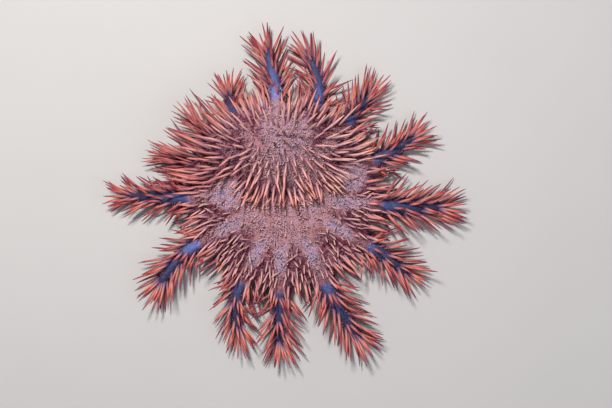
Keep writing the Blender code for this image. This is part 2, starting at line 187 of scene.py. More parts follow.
@dataclass(frozen=True)
class BodyPlan:
    """The shape of the flesh: a flat disc with arms, and a mound that lifts one side of it."""

    web_radius: float = 0.094
    disc_top: float = 0.029
    rim_height: float = 0.008
    underside: float = 0.003
    shoulder_power: float = 0.5
    scallop: float = 0.05
    scallop_width: float = math.radians(14.3)
    bulge: float = 0.05
    bulge_bearing: float = math.radians(152)
    bulge_span: float = math.radians(62)
    mouth_radius: float = 0.011
    mouth_depth: float = 0.009
    peak: Span = (-0.004, 0.062)
    hump_height: float = 0.032
    hump_left: float = 0.124
    hump_right: float = 0.088
    hump_front: float = 0.064
    hump_back: float = 0.076
    hump_underside_share: float = 0.86
    mouth_edge: float = 0.015
    root_radius: float = 0.101
    half_width: float = 0.0145
    end_half_width: float = 0.0052
    taper_power: float = 1.25
    crest: float = 0.029
    end_crest: float = 0.0095
    crest_taper_power: float = 1.3
    belly_share: float = 0.36
    tip_length: float = 0.009
    tip_rounding: float = 0.9
    groove_depth: float = 0.003
    groove_share: float = 0.99
    flat_share: float = 0.6
    crest_fullness: float = 0.9
    buried_crest_share: float = 0.8
    sector_share: float = 0.95
    sweep_power: float = 1.5
    path_step: float = 0.0005
    # Where the bare fold starts and ends.
    fold: tuple[Span, Span] = ((-0.008, 0.078), (-0.010, 0.104))
    fold_half_width: float = 0.0080
    fold_fade: Span = (1.15, 0.75)
    # X, Y and the radius of each calm grey patch.
    patches: tuple[tuple[float, float, float], ...] = ((0.067, 0.020, 0.016), (-0.056, 0.003, 0.017))
    brow: Span = (0.0, 0.068)
    brow_reach: Span = (0.025, 0.036)
    fade: Span = (1.2, 0.7)
    valley_fade: Span = (0.30, 0.85)
    far_start: Span = (0.060, 0.080)
    left_start: Span = (-0.02, -0.045)
    left_shift: float = 0.22
    # These fields, down to brow_bareness, shape the hollows, where the skin is darkened: partly its own
    # maroon, partly painted shade.
    combed_from: Span = (0.60, 0.95)
    combed_to: Span = (1.02, 0.95)
    combed_depth: float = 0.9
    beside_brow: Span = (1.0, 1.6)
    beside_brow_depth: float = 0.7
    rim_from: Span = (0.74, 1.00)
    rim_valley_shift: float = 0.32
    rim_ridge_depth: float = 0.55
    brow_bareness: float = 0.85
    ridge_foot: Span = (0.85, 1.0)
    ridge_from: Span = (0.40, 0.60)
    ridge_to: Span = (0.92, 0.70)
    ridge_across: Span = (0.66, 0.14)
    brow_blue: float = 0.6
    fold_blue: float = 0.7
    top_blue: float = 0.75

    def hump_share(self, x: np.ndarray, y: np.ndarray) -> np.ndarray:
        """Gives how far a place is from the mound's peak, where 1 is the mound's foot.

        Args:
            x: Places along X.
            y: Places along Y.

        Returns:
            The distances as shares of the mound's reach that way.
        """
        across, along = x - self.peak[0], y - self.peak[1]
        wide = np.where(across > 0, self.hump_right, self.hump_left)
        deep = np.where(along > 0, self.hump_back, self.hump_front)
        return np.hypot(across / wide, along / deep)

    def brow_share(self, x: np.ndarray, y: np.ndarray) -> np.ndarray:
        """Gives how far a place is from the middle of the oval of upright spines on the mound's top."""
        return np.hypot((x - self.brow[0]) / self.brow_reach[0], (y - self.brow[1]) / self.brow_reach[1])

    def on_brow(self, x: np.ndarray, y: np.ndarray) -> np.ndarray:
        """Gives how fully a place lies on the oval of upright spines on the mound's top."""
        return ramp(self.brow_share(x, y), *self.fade)

    def lifted(self, points: np.ndarray, under: np.ndarray) -> np.ndarray:
        """Raises points of the flat body by the mound.

        Args:
            points: One row for each point.
            under: True for points of the underside, which rises a little less.

        Returns:
            The raised points.
        """
        share = np.minimum(self.hump_share(points[:, 0], points[:, 1]), 1.0)
        rise = self.hump_height * (1 - share**2) ** 2
        raised = points.copy()
        raised[:, 2] += rise * np.where(under, self.hump_underside_share, 1.0)
        return raised

    def on_fold(self, x: np.ndarray, y: np.ndarray) -> np.ndarray:
        """Gives how fully a place lies on the bare fold from the mound's peak to the first arm.

        Args:
            x: Places along X.
            y: Places along Y.

        Returns:
            Shares from 0 to 1.
        """
        start, end = np.array(self.fold)
        run = end - start
        places = np.stack((x, y), axis=1) - start
        share = np.clip(places @ run / (run @ run), 0, 1)
        away = np.linalg.norm(places - share[:, None] * run, axis=1) / self.fold_half_width
        return ramp(away, *self.fold_fade)

    def on_patch(self, x: np.ndarray, y: np.ndarray) -> np.ndarray:
        """Gives how fully a place lies on one of the calm grey patches at the mound's two ends."""
        away = [np.hypot(x - across, y - along) / radius for across, along, radius in self.patches]
        return ramp(np.minimum.reduce(away), *self.fade)

    def valley(self, points: np.ndarray) -> np.ndarray:
        """Gives how far a place lies from the arms' middle lines, from 0 on one to 1 between two."""
        _, across, _ = self.nearest_arm(points)
        return ramp(np.abs(across), *self.valley_fade)

    def far_side(self, y: np.ndarray) -> np.ndarray:
        """Gives how far a place lies behind the mound's peak."""
        return ramp(y, *self.far_start)

    def hollow(self, points: np.ndarray) -> np.ndarray:
        """Gives how deep a place lies: under the mound's spines, or between two arms' roots. There the skin
        turns dark maroon: partly its own colour, partly painted shade.

        Args:
            points: One row for each point.

        Returns:
            Shares from 0 to 1.
        """
        x, y = points[:, 0], points[:, 1]
        share, out = self.hump_share(x, y), np.hypot(x, y) / self.web_radius
        valley = np.maximum(self.valley(points), self.far_side(y))
        left = ramp(x, *self.left_start)
        beside = self.beside_brow_depth * left * ramp(self.brow_share(x, y), *self.beside_brow)
        combed = np.maximum(ramp(share + self.left_shift * left, *self.combed_from), beside)
        combed *= self.combed_depth * ramp(share, *self.combed_to)
        rim = ramp(out + self.rim_valley_shift * valley, *self.rim_from)
        rim *= self.rim_ridge_depth + (1 - self.rim_ridge_depth) * valley
        brow = self.brow_bareness * self.on_brow(x, y)
        bare = np.maximum.reduce((self.on_fold(x, y), self.on_patch(x, y), brow))
        return np.maximum(combed, rim) * (1 - bare)

    def ridge(self, points: np.ndarray) -> np.ndarray:
        """Gives how far a place lies on a blue-grey height: a ridge out to an arm, or the mound's top.

        Args:
            points: One row for each point.

        Returns:
            Shares from 0 to 1.
        """
        x, y = points[:, 0], points[:, 1]
        _, across, _ = self.nearest_arm(points)
        share, out = self.hump_share(x, y), np.hypot(x, y) / self.web_radius
        low = ramp(share, *self.ridge_foot) * ramp(out, *self.ridge_from) * ramp(out, *self.ridge_to)
        low *= ramp(np.abs(across), *self.ridge_across)
        brow, fold = self.brow_blue * self.on_brow(x, y), self.fold_blue * self.on_fold(x, y)
        return np.maximum(low, self.top_blue * np.maximum.reduce((brow, fold, self.on_patch(x, y))))

    def web_edge(self, bearing: np.ndarray) -> np.ndarray:
        """Gives the radius of the disc's edge, which is scalloped between the arms.

        Args:
            bearing: Bearings in radians.

        Returns:
            The radii.
        """
        turns = [np.abs(turn_between(bearing, math.radians(arm.bearing))) for arm in ARMS]
        nearest = np.minimum.reduce(turns)
        off_bulge = np.abs(turn_between(bearing, self.bulge_bearing))
        bulge = self.bulge * (1 - ramp(off_bulge, 0, self.bulge_span) ** 2)
        return self.web_radius * (1 + bulge - self.scallop * np.minimum(1, nearest / self.scallop_width))

    def disc_points(self, azimuth: np.ndarray, polar: np.ndarray) -> np.ndarray:
        """Places points on the disc.

        Args:
            azimuth: Bearing of each point in radians.
            polar: Angle from straight up in radians: 0 is the top, and pi is the mouth.

        Returns:
            One row for each point.
        """
        radius = self.web_edge(azimuth) * np.sin(polar)
        rise = np.abs(np.cos(polar)) ** self.shoulder_power
        upper = polar <= math.pi / 2
        goal = np.where(upper, self.disc_top, self.underside)
        height = self.rim_height + (goal - self.rim_height) * rise
        hollow = np.clip(1 - (radius / self.mouth_radius) ** 2, 0, 1)
        height = np.where(upper, height, height + self.mouth_depth * hollow)
        flat = on_plan(azimuth, radius)
        flat[:, 2] = height
        return self.lifted(flat, ~upper)

    def share_along(self, arm: ArmPlan, radius: np.ndarray) -> np.ndarray:
        """Gives how far along an arm a radius is: 0 at the mouth, and 1 at its tip."""
        return np.clip((radius - self.mouth_edge) / (arm.reach - self.mouth_edge), 0, 1)

    def bearing_at(self, arm: ArmPlan, radius: np.ndarray) -> np.ndarray:
        """Gives the bearing of an arm's middle line at a radius, in radians."""
        past = np.clip((radius - self.root_radius) / (arm.reach - self.root_radius), 0, None)
        return np.radians(arm.bearing + arm.sweep * past**self.sweep_power)

    def half_width_at(self, arm: ArmPlan, radius: np.ndarray) -> np.ndarray:
        """Gives half the width of an arm's flesh at a radius.

        Args:
            arm: The arm.
            radius: Distances from the middle of the disc.

        Returns:
            Half the widths.
        """
        share = self.share_along(arm, radius) ** self.taper_power
        free = (self.half_width + (self.end_half_width - self.half_width) * share) * arm.girth
        return np.minimum(free, radius * math.tan(math.pi / len(ARMS)) * self.sector_share)

    def crest_at(self, arm: ArmPlan, radius: np.ndarray) -> np.ndarray:
        """Gives the height of an arm's crest over the floor at a radius.

        Args:
            arm: The arm.
            radius: Distances from the middle of the disc.

        Returns:
            The heights.
        """
        share = self.share_along(arm, radius) ** self.crest_taper_power
        free = (self.crest + (self.end_crest - self.crest) * share) * arm.girth
        inner = np.minimum(1, radius / self.web_radius)
        return np.minimum(free, self.disc_top * (self.buried_crest_share * (1 - inner) + inner))

    def middle_at(self, arm: ArmPlan, radius: np.ndarray) -> tuple[np.ndarray, np.ndarray, np.ndarray]:
        """Gives an arm's middle line on the floor.

        Args:
            arm: The arm.
            radius: Distances from the middle of the disc.

        Returns:
            Points, headings and the directions of the arm's left side.
        """
        back, here, ahead = (
            on_plan(self.bearing_at(arm, at), at)
            for at in (radius - self.path_step, radius, radius + self.path_step)
        )
        heading = unit(ahead - back)
        return here, heading, np.cross(UP, heading)

    def arm_points(
        self, arm: ArmPlan, radius: np.ndarray, angle: np.ndarray, scale: np.ndarray | float = 1.0
    ) -> np.ndarray:
        """Places points on an arm.

        Args:
            arm: The arm.
            radius: Distances from the middle of the disc.
            angle: Angles round the section in radians, from the left side over the top.
            scale: How full the section is. It is 0 on its axis.

        Returns:
            One row for each point.
        """
        here, _, side = self.middle_at(arm, radius)
        half, crest = self.half_width_at(arm, radius), self.crest_at(arm, radius)
        belly, rise = crest * self.belly_share, np.sin(angle)
        over = belly + (crest - belly) * np.abs(rise) ** self.crest_fullness
        flat = np.maximum(0, belly * (1 + rise / self.flat_share))
        under = np.where(-rise > self.groove_share, self.groove_depth, flat)
        height = np.where(rise >= 0, over, under)
        points = here + side * (np.cos(angle) * half * scale)[:, None]
        points[:, 2] = belly + (height - belly) * scale
        return self.lifted(points, rise < 0)

    def tip_scale(self, arm: ArmPlan, radius: np.ndarray) -> np.ndarray:
        """Gives how full an arm's section is where its tip rounds off."""
        past = np.clip((radius - (arm.reach - self.tip_length)) / self.tip_length, 0, 1)
        return np.sqrt(1 - (past * self.tip_rounding) ** 2)

    def nearest_arm(self, points: np.ndarray) -> tuple[np.ndarray, np.ndarray, np.ndarray]:
        """Finds the arm that each point belongs to.

        Args:
            points: One row for each point.

        Returns:
            The arm's number, the point's distance from its middle line as a signed share
            of its half width, and its share along the arm.
        """
        bearing, radius = polar_of(points)
        across = np.stack(
            [
                radius * turn_between(bearing, self.bearing_at(arm, radius)) / self.half_width_at(arm, radius)
                for arm in ARMS
            ]
        )
        number = np.abs(across).argmin(axis=0)
        along = np.stack([self.share_along(arm, radius) for arm in ARMS])
        every = np.arange(len(points))
        return number, across[number, every], along[number, every]


class NodeBench:
    """Adds and joins the shader nodes of one material."""

    def __init__(self, name: str) -> None:
        """Starts a material with its Principled shader.

        Args:
            name: The material's name.
        """
        self.material = bpy.data.materials.new(name)
        self.material.use_nodes = True
        self.tree = self.material.node_tree
        self.shader = self.tree.nodes["Principled BSDF"]

    def join(self, socket: bpy.types.NodeSocket, value: object) -> None:
        """Links a value to a socket where it is a socket too, and otherwise sets it there.

        Args:
            socket: The input to fill.
            value: An output socket or a constant.
        """
        if isinstance(value, bpy.types.NodeSocket):
            self.tree.links.new(value, socket)
        else:
            socket.default_value = value

    def add(self, kind: str, inputs: dict[str, object] | None = None, **settings: object) -> bpy.types.Node:
        """Adds a node.

        Args:
            kind: The node's type name.
            inputs: What its inputs are set to or linked from, by name.
            **settings: Its own properties.

        Returns:
            The node.
        """
        node = self.tree.nodes.new(kind)
        for name, value in settings.items():
            setattr(node, name, value)
        for name, value in (inputs or {}).items():
            self.join(node.inputs[name], value)
        return node

    def place(self) -> bpy.types.NodeSocket:
        """Gives the place on the piece, as Object coordinates."""
        return self.add("ShaderNodeTexCoord").outputs["Object"]

    def attribute(self, name: str) -> bpy.types.NodeSocket:
        """Gives a number that the piece stores at each of its vertices."""
        return self.add("ShaderNodeAttribute", attribute_name=name).outputs["Fac"]

    def noise(self, place: bpy.types.NodeSocket, size: float, detail: float = 3.0) -> bpy.types.NodeSocket:
        """Gives soft noise.

        Args:
            place: The coordinates that it reads.
            size: The width of its blotches in metres.
            detail: How many finer layers it has.

        Returns:
            The noise's value, about 0.5 on average.
        """
        inputs = {"Vector": place, "Scale": 1 / size, "Detail": detail, "Roughness": 0.6}
        return self.add("ShaderNodeTexNoise", inputs).outputs["Fac"]

    def mottle(
        self, place: bpy.types.NodeSocket, size: float, low: float, high: float
    ) -> bpy.types.NodeSocket:
        """Gives blotches of a size in metres, which start at low in the noise and are full at high."""
        return self.between(self.noise(place, size), low, high)

    def cells(self, place: bpy.types.NodeSocket, size: float, feature: str = "F1") -> bpy.types.NodeSocket:
        """Gives the distance from the middle of rounded grains of a size in metres."""
        inputs = {"Vector": place, "Scale": 1 / size, "Randomness": 0.9}
        return self.add("ShaderNodeTexVoronoi", inputs, feature=feature).outputs["Distance"]

    def math(self, operation: str, first: object, second: object = 0.0) -> bpy.types.NodeSocket:
        """Gives the clamped result of a sum on two values.

        Args:
            operation: The sum's name.
            first: A socket or a constant.
            second: A socket or a constant.

        Returns:
            The result, from 0 to 1.
        """
        node = self.add("ShaderNodeMath", operation=operation, use_clamp=True)
        self.join(node.inputs[0], first)
        self.join(node.inputs[1], second)
        return node.outputs[0]

    def between(self, value: object, low: float, high: float) -> bpy.types.NodeSocket:
        """Spreads the values from low to high over 0 to 1, smoothly.

        Args:
            value: The value to spread.
            low: What becomes 0.
            high: What becomes 1.

        Returns:
            The spread value.
        """
        node = self.add("ShaderNodeMapRange", {"Value": value}, interpolation_type="SMOOTHSTEP")
        self.join(node.inputs["From Min"], low)
        self.join(node.inputs["From Max"], high)
        return node.outputs["Result"]

    def times(self, first: object, second: object) -> bpy.types.NodeSocket:
        """Multiplies two values."""
        return self.math("MULTIPLY", first, second)

    def plus(self, first: object, second: object) -> bpy.types.NodeSocket:
        """Adds two values."""
        return self.math("ADD", first, second)

    def mix(self, share: object, first: object, second: object, blend: str = "MIX") -> bpy.types.NodeSocket:
        """Mixes two colours.

        Args:
            share: How much of the second colour shows.
            first: A colour as it is seen, or a socket.
            second: A colour as it is seen, or a socket.
            blend: The name of the blend mode.

        Returns:
            The mixed colour.
        """
        node = self.add("ShaderNodeMix", data_type="RGBA", blend_type=blend)
        sockets = [socket for socket in node.inputs if socket.type == "RGBA"]
        self.join(node.inputs[0], share)
        for socket, value in zip(sockets, (first, second)):
            self.join(socket, linear(value) if isinstance(value, tuple) else value)
        return next(socket for socket in node.outputs if socket.type == "RGBA")

    def scale_of(self, place: object, stops: Stops) -> bpy.types.NodeSocket:
        """Reads a colour from a scale of colours.

        Args:
            place: Where to read, from 0 to 1.
            stops: The colours as they are seen, each with its place.

        Returns:
            The colour.
        """
        node = self.add("ShaderNodeValToRGB", {"Fac": place})
        marks = node.color_ramp.elements
        while len(marks) < len(stops):
            marks.new(0.5)
        for mark, (at, colour) in zip(marks, stops):
            mark.position = at
            mark.color = linear(colour)
        return node.outputs["Color"]

    def bump(
        self, height: object, depth: float, strength: float, under: object = None
    ) -> bpy.types.NodeSocket:
        """Turns heights into a bumped normal.

        Args:
            height: The heights, from 0 to 1.
            depth: How deep the bumps are in metres.
            strength: The share of the bumps that shows.
            under: A bumped normal that these bumps are added to.

        Returns:
            The normal.
        """
        node = self.add("ShaderNodeBump", {"Height": height, "Distance": depth, "Strength": strength})
        if under is not None:
            self.join(node.inputs["Normal"], under)
        return node.outputs["Normal"]

    def finish(self, **values: object) -> bpy.types.Material:
        """Fills the shader's sockets.

        Args:
            **values: Sockets or constants, by the sockets' names with _ for a space.

        Returns:
            The material.
        """
        for name, value in values.items():
            self.join(self.shader.inputs[name.replace("_", " ")], value)
        return self.material


@dataclass(frozen=True)
class SkinFinish:
    """The leathery skin: mauve and pink on the disc, blue along the arms, pale beneath, and maroon with
    painted shade in its hollows.
    """

    mauve: Colour = (172, 140, 154)
    rose: Colour = (176, 126, 128)
    grain_dark: Colour = (116, 58, 78)
    # Dark maroon of the hollows: partly the skin's own colour, partly painted shade under the spines and
    # between the arms' roots.
    hollow: Colour = (92, 26, 52)
    ridge_blue: Colour = (174, 152, 172)
    ridge_glint: Colour = (150, 146, 190)
    strip: Stops = (
        (0.00, (166, 152, 212)),
        (0.25, (90, 114, 176)),
        (0.50, (52, 74, 118)),
        (1.00, (28, 38, 64)),
    )
    strip_edge: Colour = (34, 42, 74)
    flank: Colour = (56, 34, 60)
    beneath: Colour = (204, 176, 148)
    grain_size: float = 0.0016
    grain_pits: Span = (0.35, 0.75)
    blotches: Mottle = (0.012, 0.35, 0.65)
    ridge_mottle: Mottle = (0.005, 0.30, 0.52)
    glint_mottle: Mottle = (0.009, 0.50, 0.66)
    hollow_mottle: Mottle = (0.005, 0.25, 0.60)
    strip_mottle: float = 0.0022
    strip_edge_mottle: Span = (0.2, 0.7)
    strip_spots: Span = (0.5, 0.75)
    strip_spot_depth: float = 0.22
    tone_size: float = 0.004
    tone_drift: float = 0.12
    ragged_size: float = 0.005
    ragged_reach: float = 0.6
    ragged_edge: Span = (0.62, 0.95)
    roughness_span: Span = (-1.2, 1.5)

    def material(self) -> bpy.types.Material:
        """Builds the skin's material, which reads the masks that Skin stores.

        Returns:
            The material.
        """
        bench = NodeBench("skin")
        place = bench.place()
        blotches = bench.mottle(place, *self.blotches)
        body = bench.mix(blotches, self.mauve, self.rose)
        ridges = bench.times(bench.attribute("ridge"), bench.mottle(place, *self.ridge_mottle))
        body = bench.mix(ridges, body, self.ridge_blue)
        glints = bench.times(ridges, bench.mottle(place, *self.glint_mottle))
        body = bench.mix(glints, body, self.ridge_glint)
        # Painted shade, over the skin's own maroon, in the hollows under the spines and between the arms'
        # roots.
        maroon_and_painted_shade = bench.times(bench.attribute("hollow"), bench.mottle(place, *self.hollow_mottle))
        body = bench.mix(maroon_and_painted_shade, body, self.hollow)
        body = bench.mix(bench.attribute("flank"), body, self.flank)
        drift = bench.times(bench.noise(place, self.tone_size), self.tone_drift)
        tone = bench.plus(bench.attribute("tone"), drift)
        mottle = bench.noise(place, self.strip_mottle)
        edge = bench.times(bench.attribute("edge"), bench.between(mottle, *self.strip_edge_mottle))
        spots = bench.times(bench.between(mottle, *self.strip_spots), self.strip_spot_depth)
        strip = bench.mix(edge, bench.scale_of(bench.plus(tone, spots), self.strip), self.strip_edge)
        reach = bench.times(bench.noise(place, self.ragged_size), self.ragged_reach)
        ragged = bench.plus(bench.attribute("strip"), reach)
        body = bench.mix(bench.between(ragged, *self.ragged_edge), body, strip)
        body = bench.mix(bench.attribute("beneath"), body, self.beneath)
        grains = bench.cells(place, self.grain_size)
        pits = bench.times(bench.between(grains, *self.grain_pits), bench.attribute("grain"))
        body = bench.mix(pits, body, self.grain_dark)
        fine = bench.bump(bench.noise(place, size=0.0006, detail=2.0), depth=0.0003, strength=0.35)
        normal = bench.bump(bench.math("SUBTRACT", 1.0, grains), depth=0.0007, strength=0.8, under=fine)
        return bench.finish(
            Base_Color=body,
            Roughness=bench.between(blotches, *self.roughness_span),
            Normal=normal,
            Subsurface_Weight=0.08,
            Subsurface_Radius=(1.0, 0.35, 0.3),
            Subsurface_Scale=0.0015,
            Specular_IOR_Level=0.25,
        )


@dataclass(frozen=True)
class SpineFinish:
    """A spine's fleshy root, salmon shaft and dark point, redder on the arms than on the disc."""

    disc: Stops = (
        (0.00, (156, 112, 126)),
        (0.20, (190, 140, 146)),
        (0.42, (222, 166, 160)),
        (0.68, (236, 168, 152)),
        (0.90, (220, 134, 118)),
        (1.00, (158, 70, 76)),
    )
    arm: Stops = (
        (0.00, (104, 76, 108)),
        (0.14, (166, 116, 126)),
        (0.34, (208, 128, 114)),
        (0.58, (202, 96, 84)),
        (0.80, (152, 50, 64)),
        (1.00, (78, 24, 48)),
    )
    pale: Stops = (
        (0.00, (158, 118, 134)),
        (0.35, (188, 144, 148)),
        (0.70, (222, 176, 158)),
        (1.00, (230, 188, 162)),
    )
    # Dark colour that each spine's random tint and fine grain mix in; its shaded share mixes it in as painted
    # shade.
    shade: Colour = (122, 54, 80)
    roughness: float = 0.55
    drift: float = 0.12
    drift_size: float = 0.004
    tint_span: Span = (0.35, 1.6)
    grain: Mottle = (0.0009, 0.55, 1.0)

    def material(self) -> bpy.types.Material:
        """Builds the spines' material, which reads what Coat stores.

        Returns:
            The material.
        """
        bench = NodeBench("spine")
        place = bench.place()
        tint = bench.attribute("tint")
        along = bench.plus(bench.attribute("along"), bench.times(tint, self.drift))
        drift = bench.times(bench.noise(place, self.drift_size), self.drift)
        along = bench.math("SUBTRACT", along, drift)
        disc, arm, pale = (bench.scale_of(along, stops) for stops in (self.disc, self.arm, self.pale))
        body = bench.mix(bench.attribute("arm"), disc, arm)
        body = bench.mix(bench.attribute("pale"), body, pale)
        # Random tint, plus the painted shade that the spine's plot stores as shaded.
        shaded = bench.plus(bench.between(tint, *self.tint_span), bench.attribute("shaded"))
        body = bench.mix(shaded, body, self.shade)
        grain_size, *grain_span = self.grain
        skin = bench.noise(place, grain_size, detail=2.0)
        body = bench.mix(bench.between(skin, *grain_span), body, self.shade)
        return bench.finish(
            Base_Color=body,
            Roughness=self.roughness,
            Normal=bench.bump(skin, depth=0.0004, strength=0.5),
            Subsurface_Weight=0.1,
            Subsurface_Radius=(1.0, 0.3, 0.25),
            Subsurface_Scale=0.001,
            Specular_IOR_Level=0.4,
        )


@dataclass(frozen=True)
class SoftFinish:
    """A small soft organ: one colour at its root that pales to another at its end."""

    name: str
    root: Colour
    end: Colour
    # Dark colour that each copy's random tint mixes in; its shaded share mixes it in as painted shade.
    dark: Colour
    cool: Colour = (186, 166, 182)
    roughness: float = 0.55
    tint_span: Span = (0.35, 1.5)

    def material(self) -> bpy.types.Material:
        """Builds the material, which reads what Coat stores.

        Returns:
            The material.
        """
        bench = NodeBench(self.name)
        body = bench.mix(bench.attribute("along"), self.root, self.end)
        body = bench.mix(bench.attribute("arm"), body, self.cool)
        tint = bench.between(bench.attribute("tint"), *self.tint_span)
        # Random tint, plus the painted shade that the copy's plot stores as shaded.
        shaded = bench.plus(tint, bench.attribute("shaded"))
        body = bench.mix(shaded, body, self.dark)
        return bench.finish(
            Base_Color=body, Roughness=self.roughness, Subsurface_Weight=0.12, Subsurface_Scale=0.001
        )


@dataclass(frozen=True)
class FloorFinish:
    """The plain pale floor."""

    colour: Colour = (190, 189, 187)
    shade: Colour = (184, 183, 181)
    cloud_size: float = 0.2
    roughness: float = 0.8

    def material(self) -> bpy.types.Material:
        """Builds the floor's material.

        Returns:
            The material.
        """
        bench = NodeBench("floor")
        cloud = bench.noise(bench.place(), self.cloud_size)
        return bench.finish(Base_Color=bench.mix(cloud, self.colour, self.shade), Roughness=self.roughness)


def start_modelling(add: Callable[..., object], **sizes: object) -> bpy.types.Object:
    """Adds a primitive on its own, with nothing else selected.

    Args:
        add: The operator that adds it.
        **sizes: The operator's own settings.

    Returns:
        The new object.
    """
    bpy.ops.object.select_all(action="DESELECT")
    add(**sizes)
    return bpy.context.object


def coordinates(mesh: bpy.types.Mesh) -> np.ndarray:
    """Reads a mesh's vertices.

    Args:
        mesh: The mesh.

    Returns:
        One row for each vertex.
    """
    flat = np.empty(len(mesh.vertices) * 3)
    mesh.vertices.foreach_get("co", flat)
    return flat.reshape(-1, 3)


def set_coordinates(mesh: bpy.types.Mesh, points: np.ndarray) -> None:
    """Moves a mesh's vertices to the rows of points."""
    mesh.vertices.foreach_set("co", points.ravel())
    mesh.update()


def store(mesh: bpy.types.Mesh, name: str, values: np.ndarray) -> None:
    """Stores a number at each vertex of a mesh, for its material to read."""
    mesh.attributes.new(name, "FLOAT", "POINT").data.foreach_set("value", values.astype(np.float32))


def apply(piece: bpy.types.Object, kind: str, **settings: object) -> None:
    """Shapes the active piece with a modifier.

    Args:
        piece: The piece.
        kind: The modifier's type name.
        **settings: Its own properties.
    """
    modifier = piece.modifiers.new(kind.lower(), kind)
    for name, value in settings.items():
        setattr(modifier, name, value)
    bpy.ops.object.modifier_apply(modifier=modifier.name)


def hand_in(piece: bpy.types.Object, material: bpy.types.Material, nodes: Sequence[str]) -> None:
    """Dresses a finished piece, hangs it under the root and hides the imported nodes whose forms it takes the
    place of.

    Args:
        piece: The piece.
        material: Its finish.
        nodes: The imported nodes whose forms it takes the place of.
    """
    piece.data.materials.clear()
    piece.data.materials.append(material)
    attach(piece, "root")
    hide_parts(*nodes)
    triangles = sum(len(face.vertices) - 2 for face in piece.data.polygons)
    LOG.info("%s: %d triangles", piece.name, triangles)


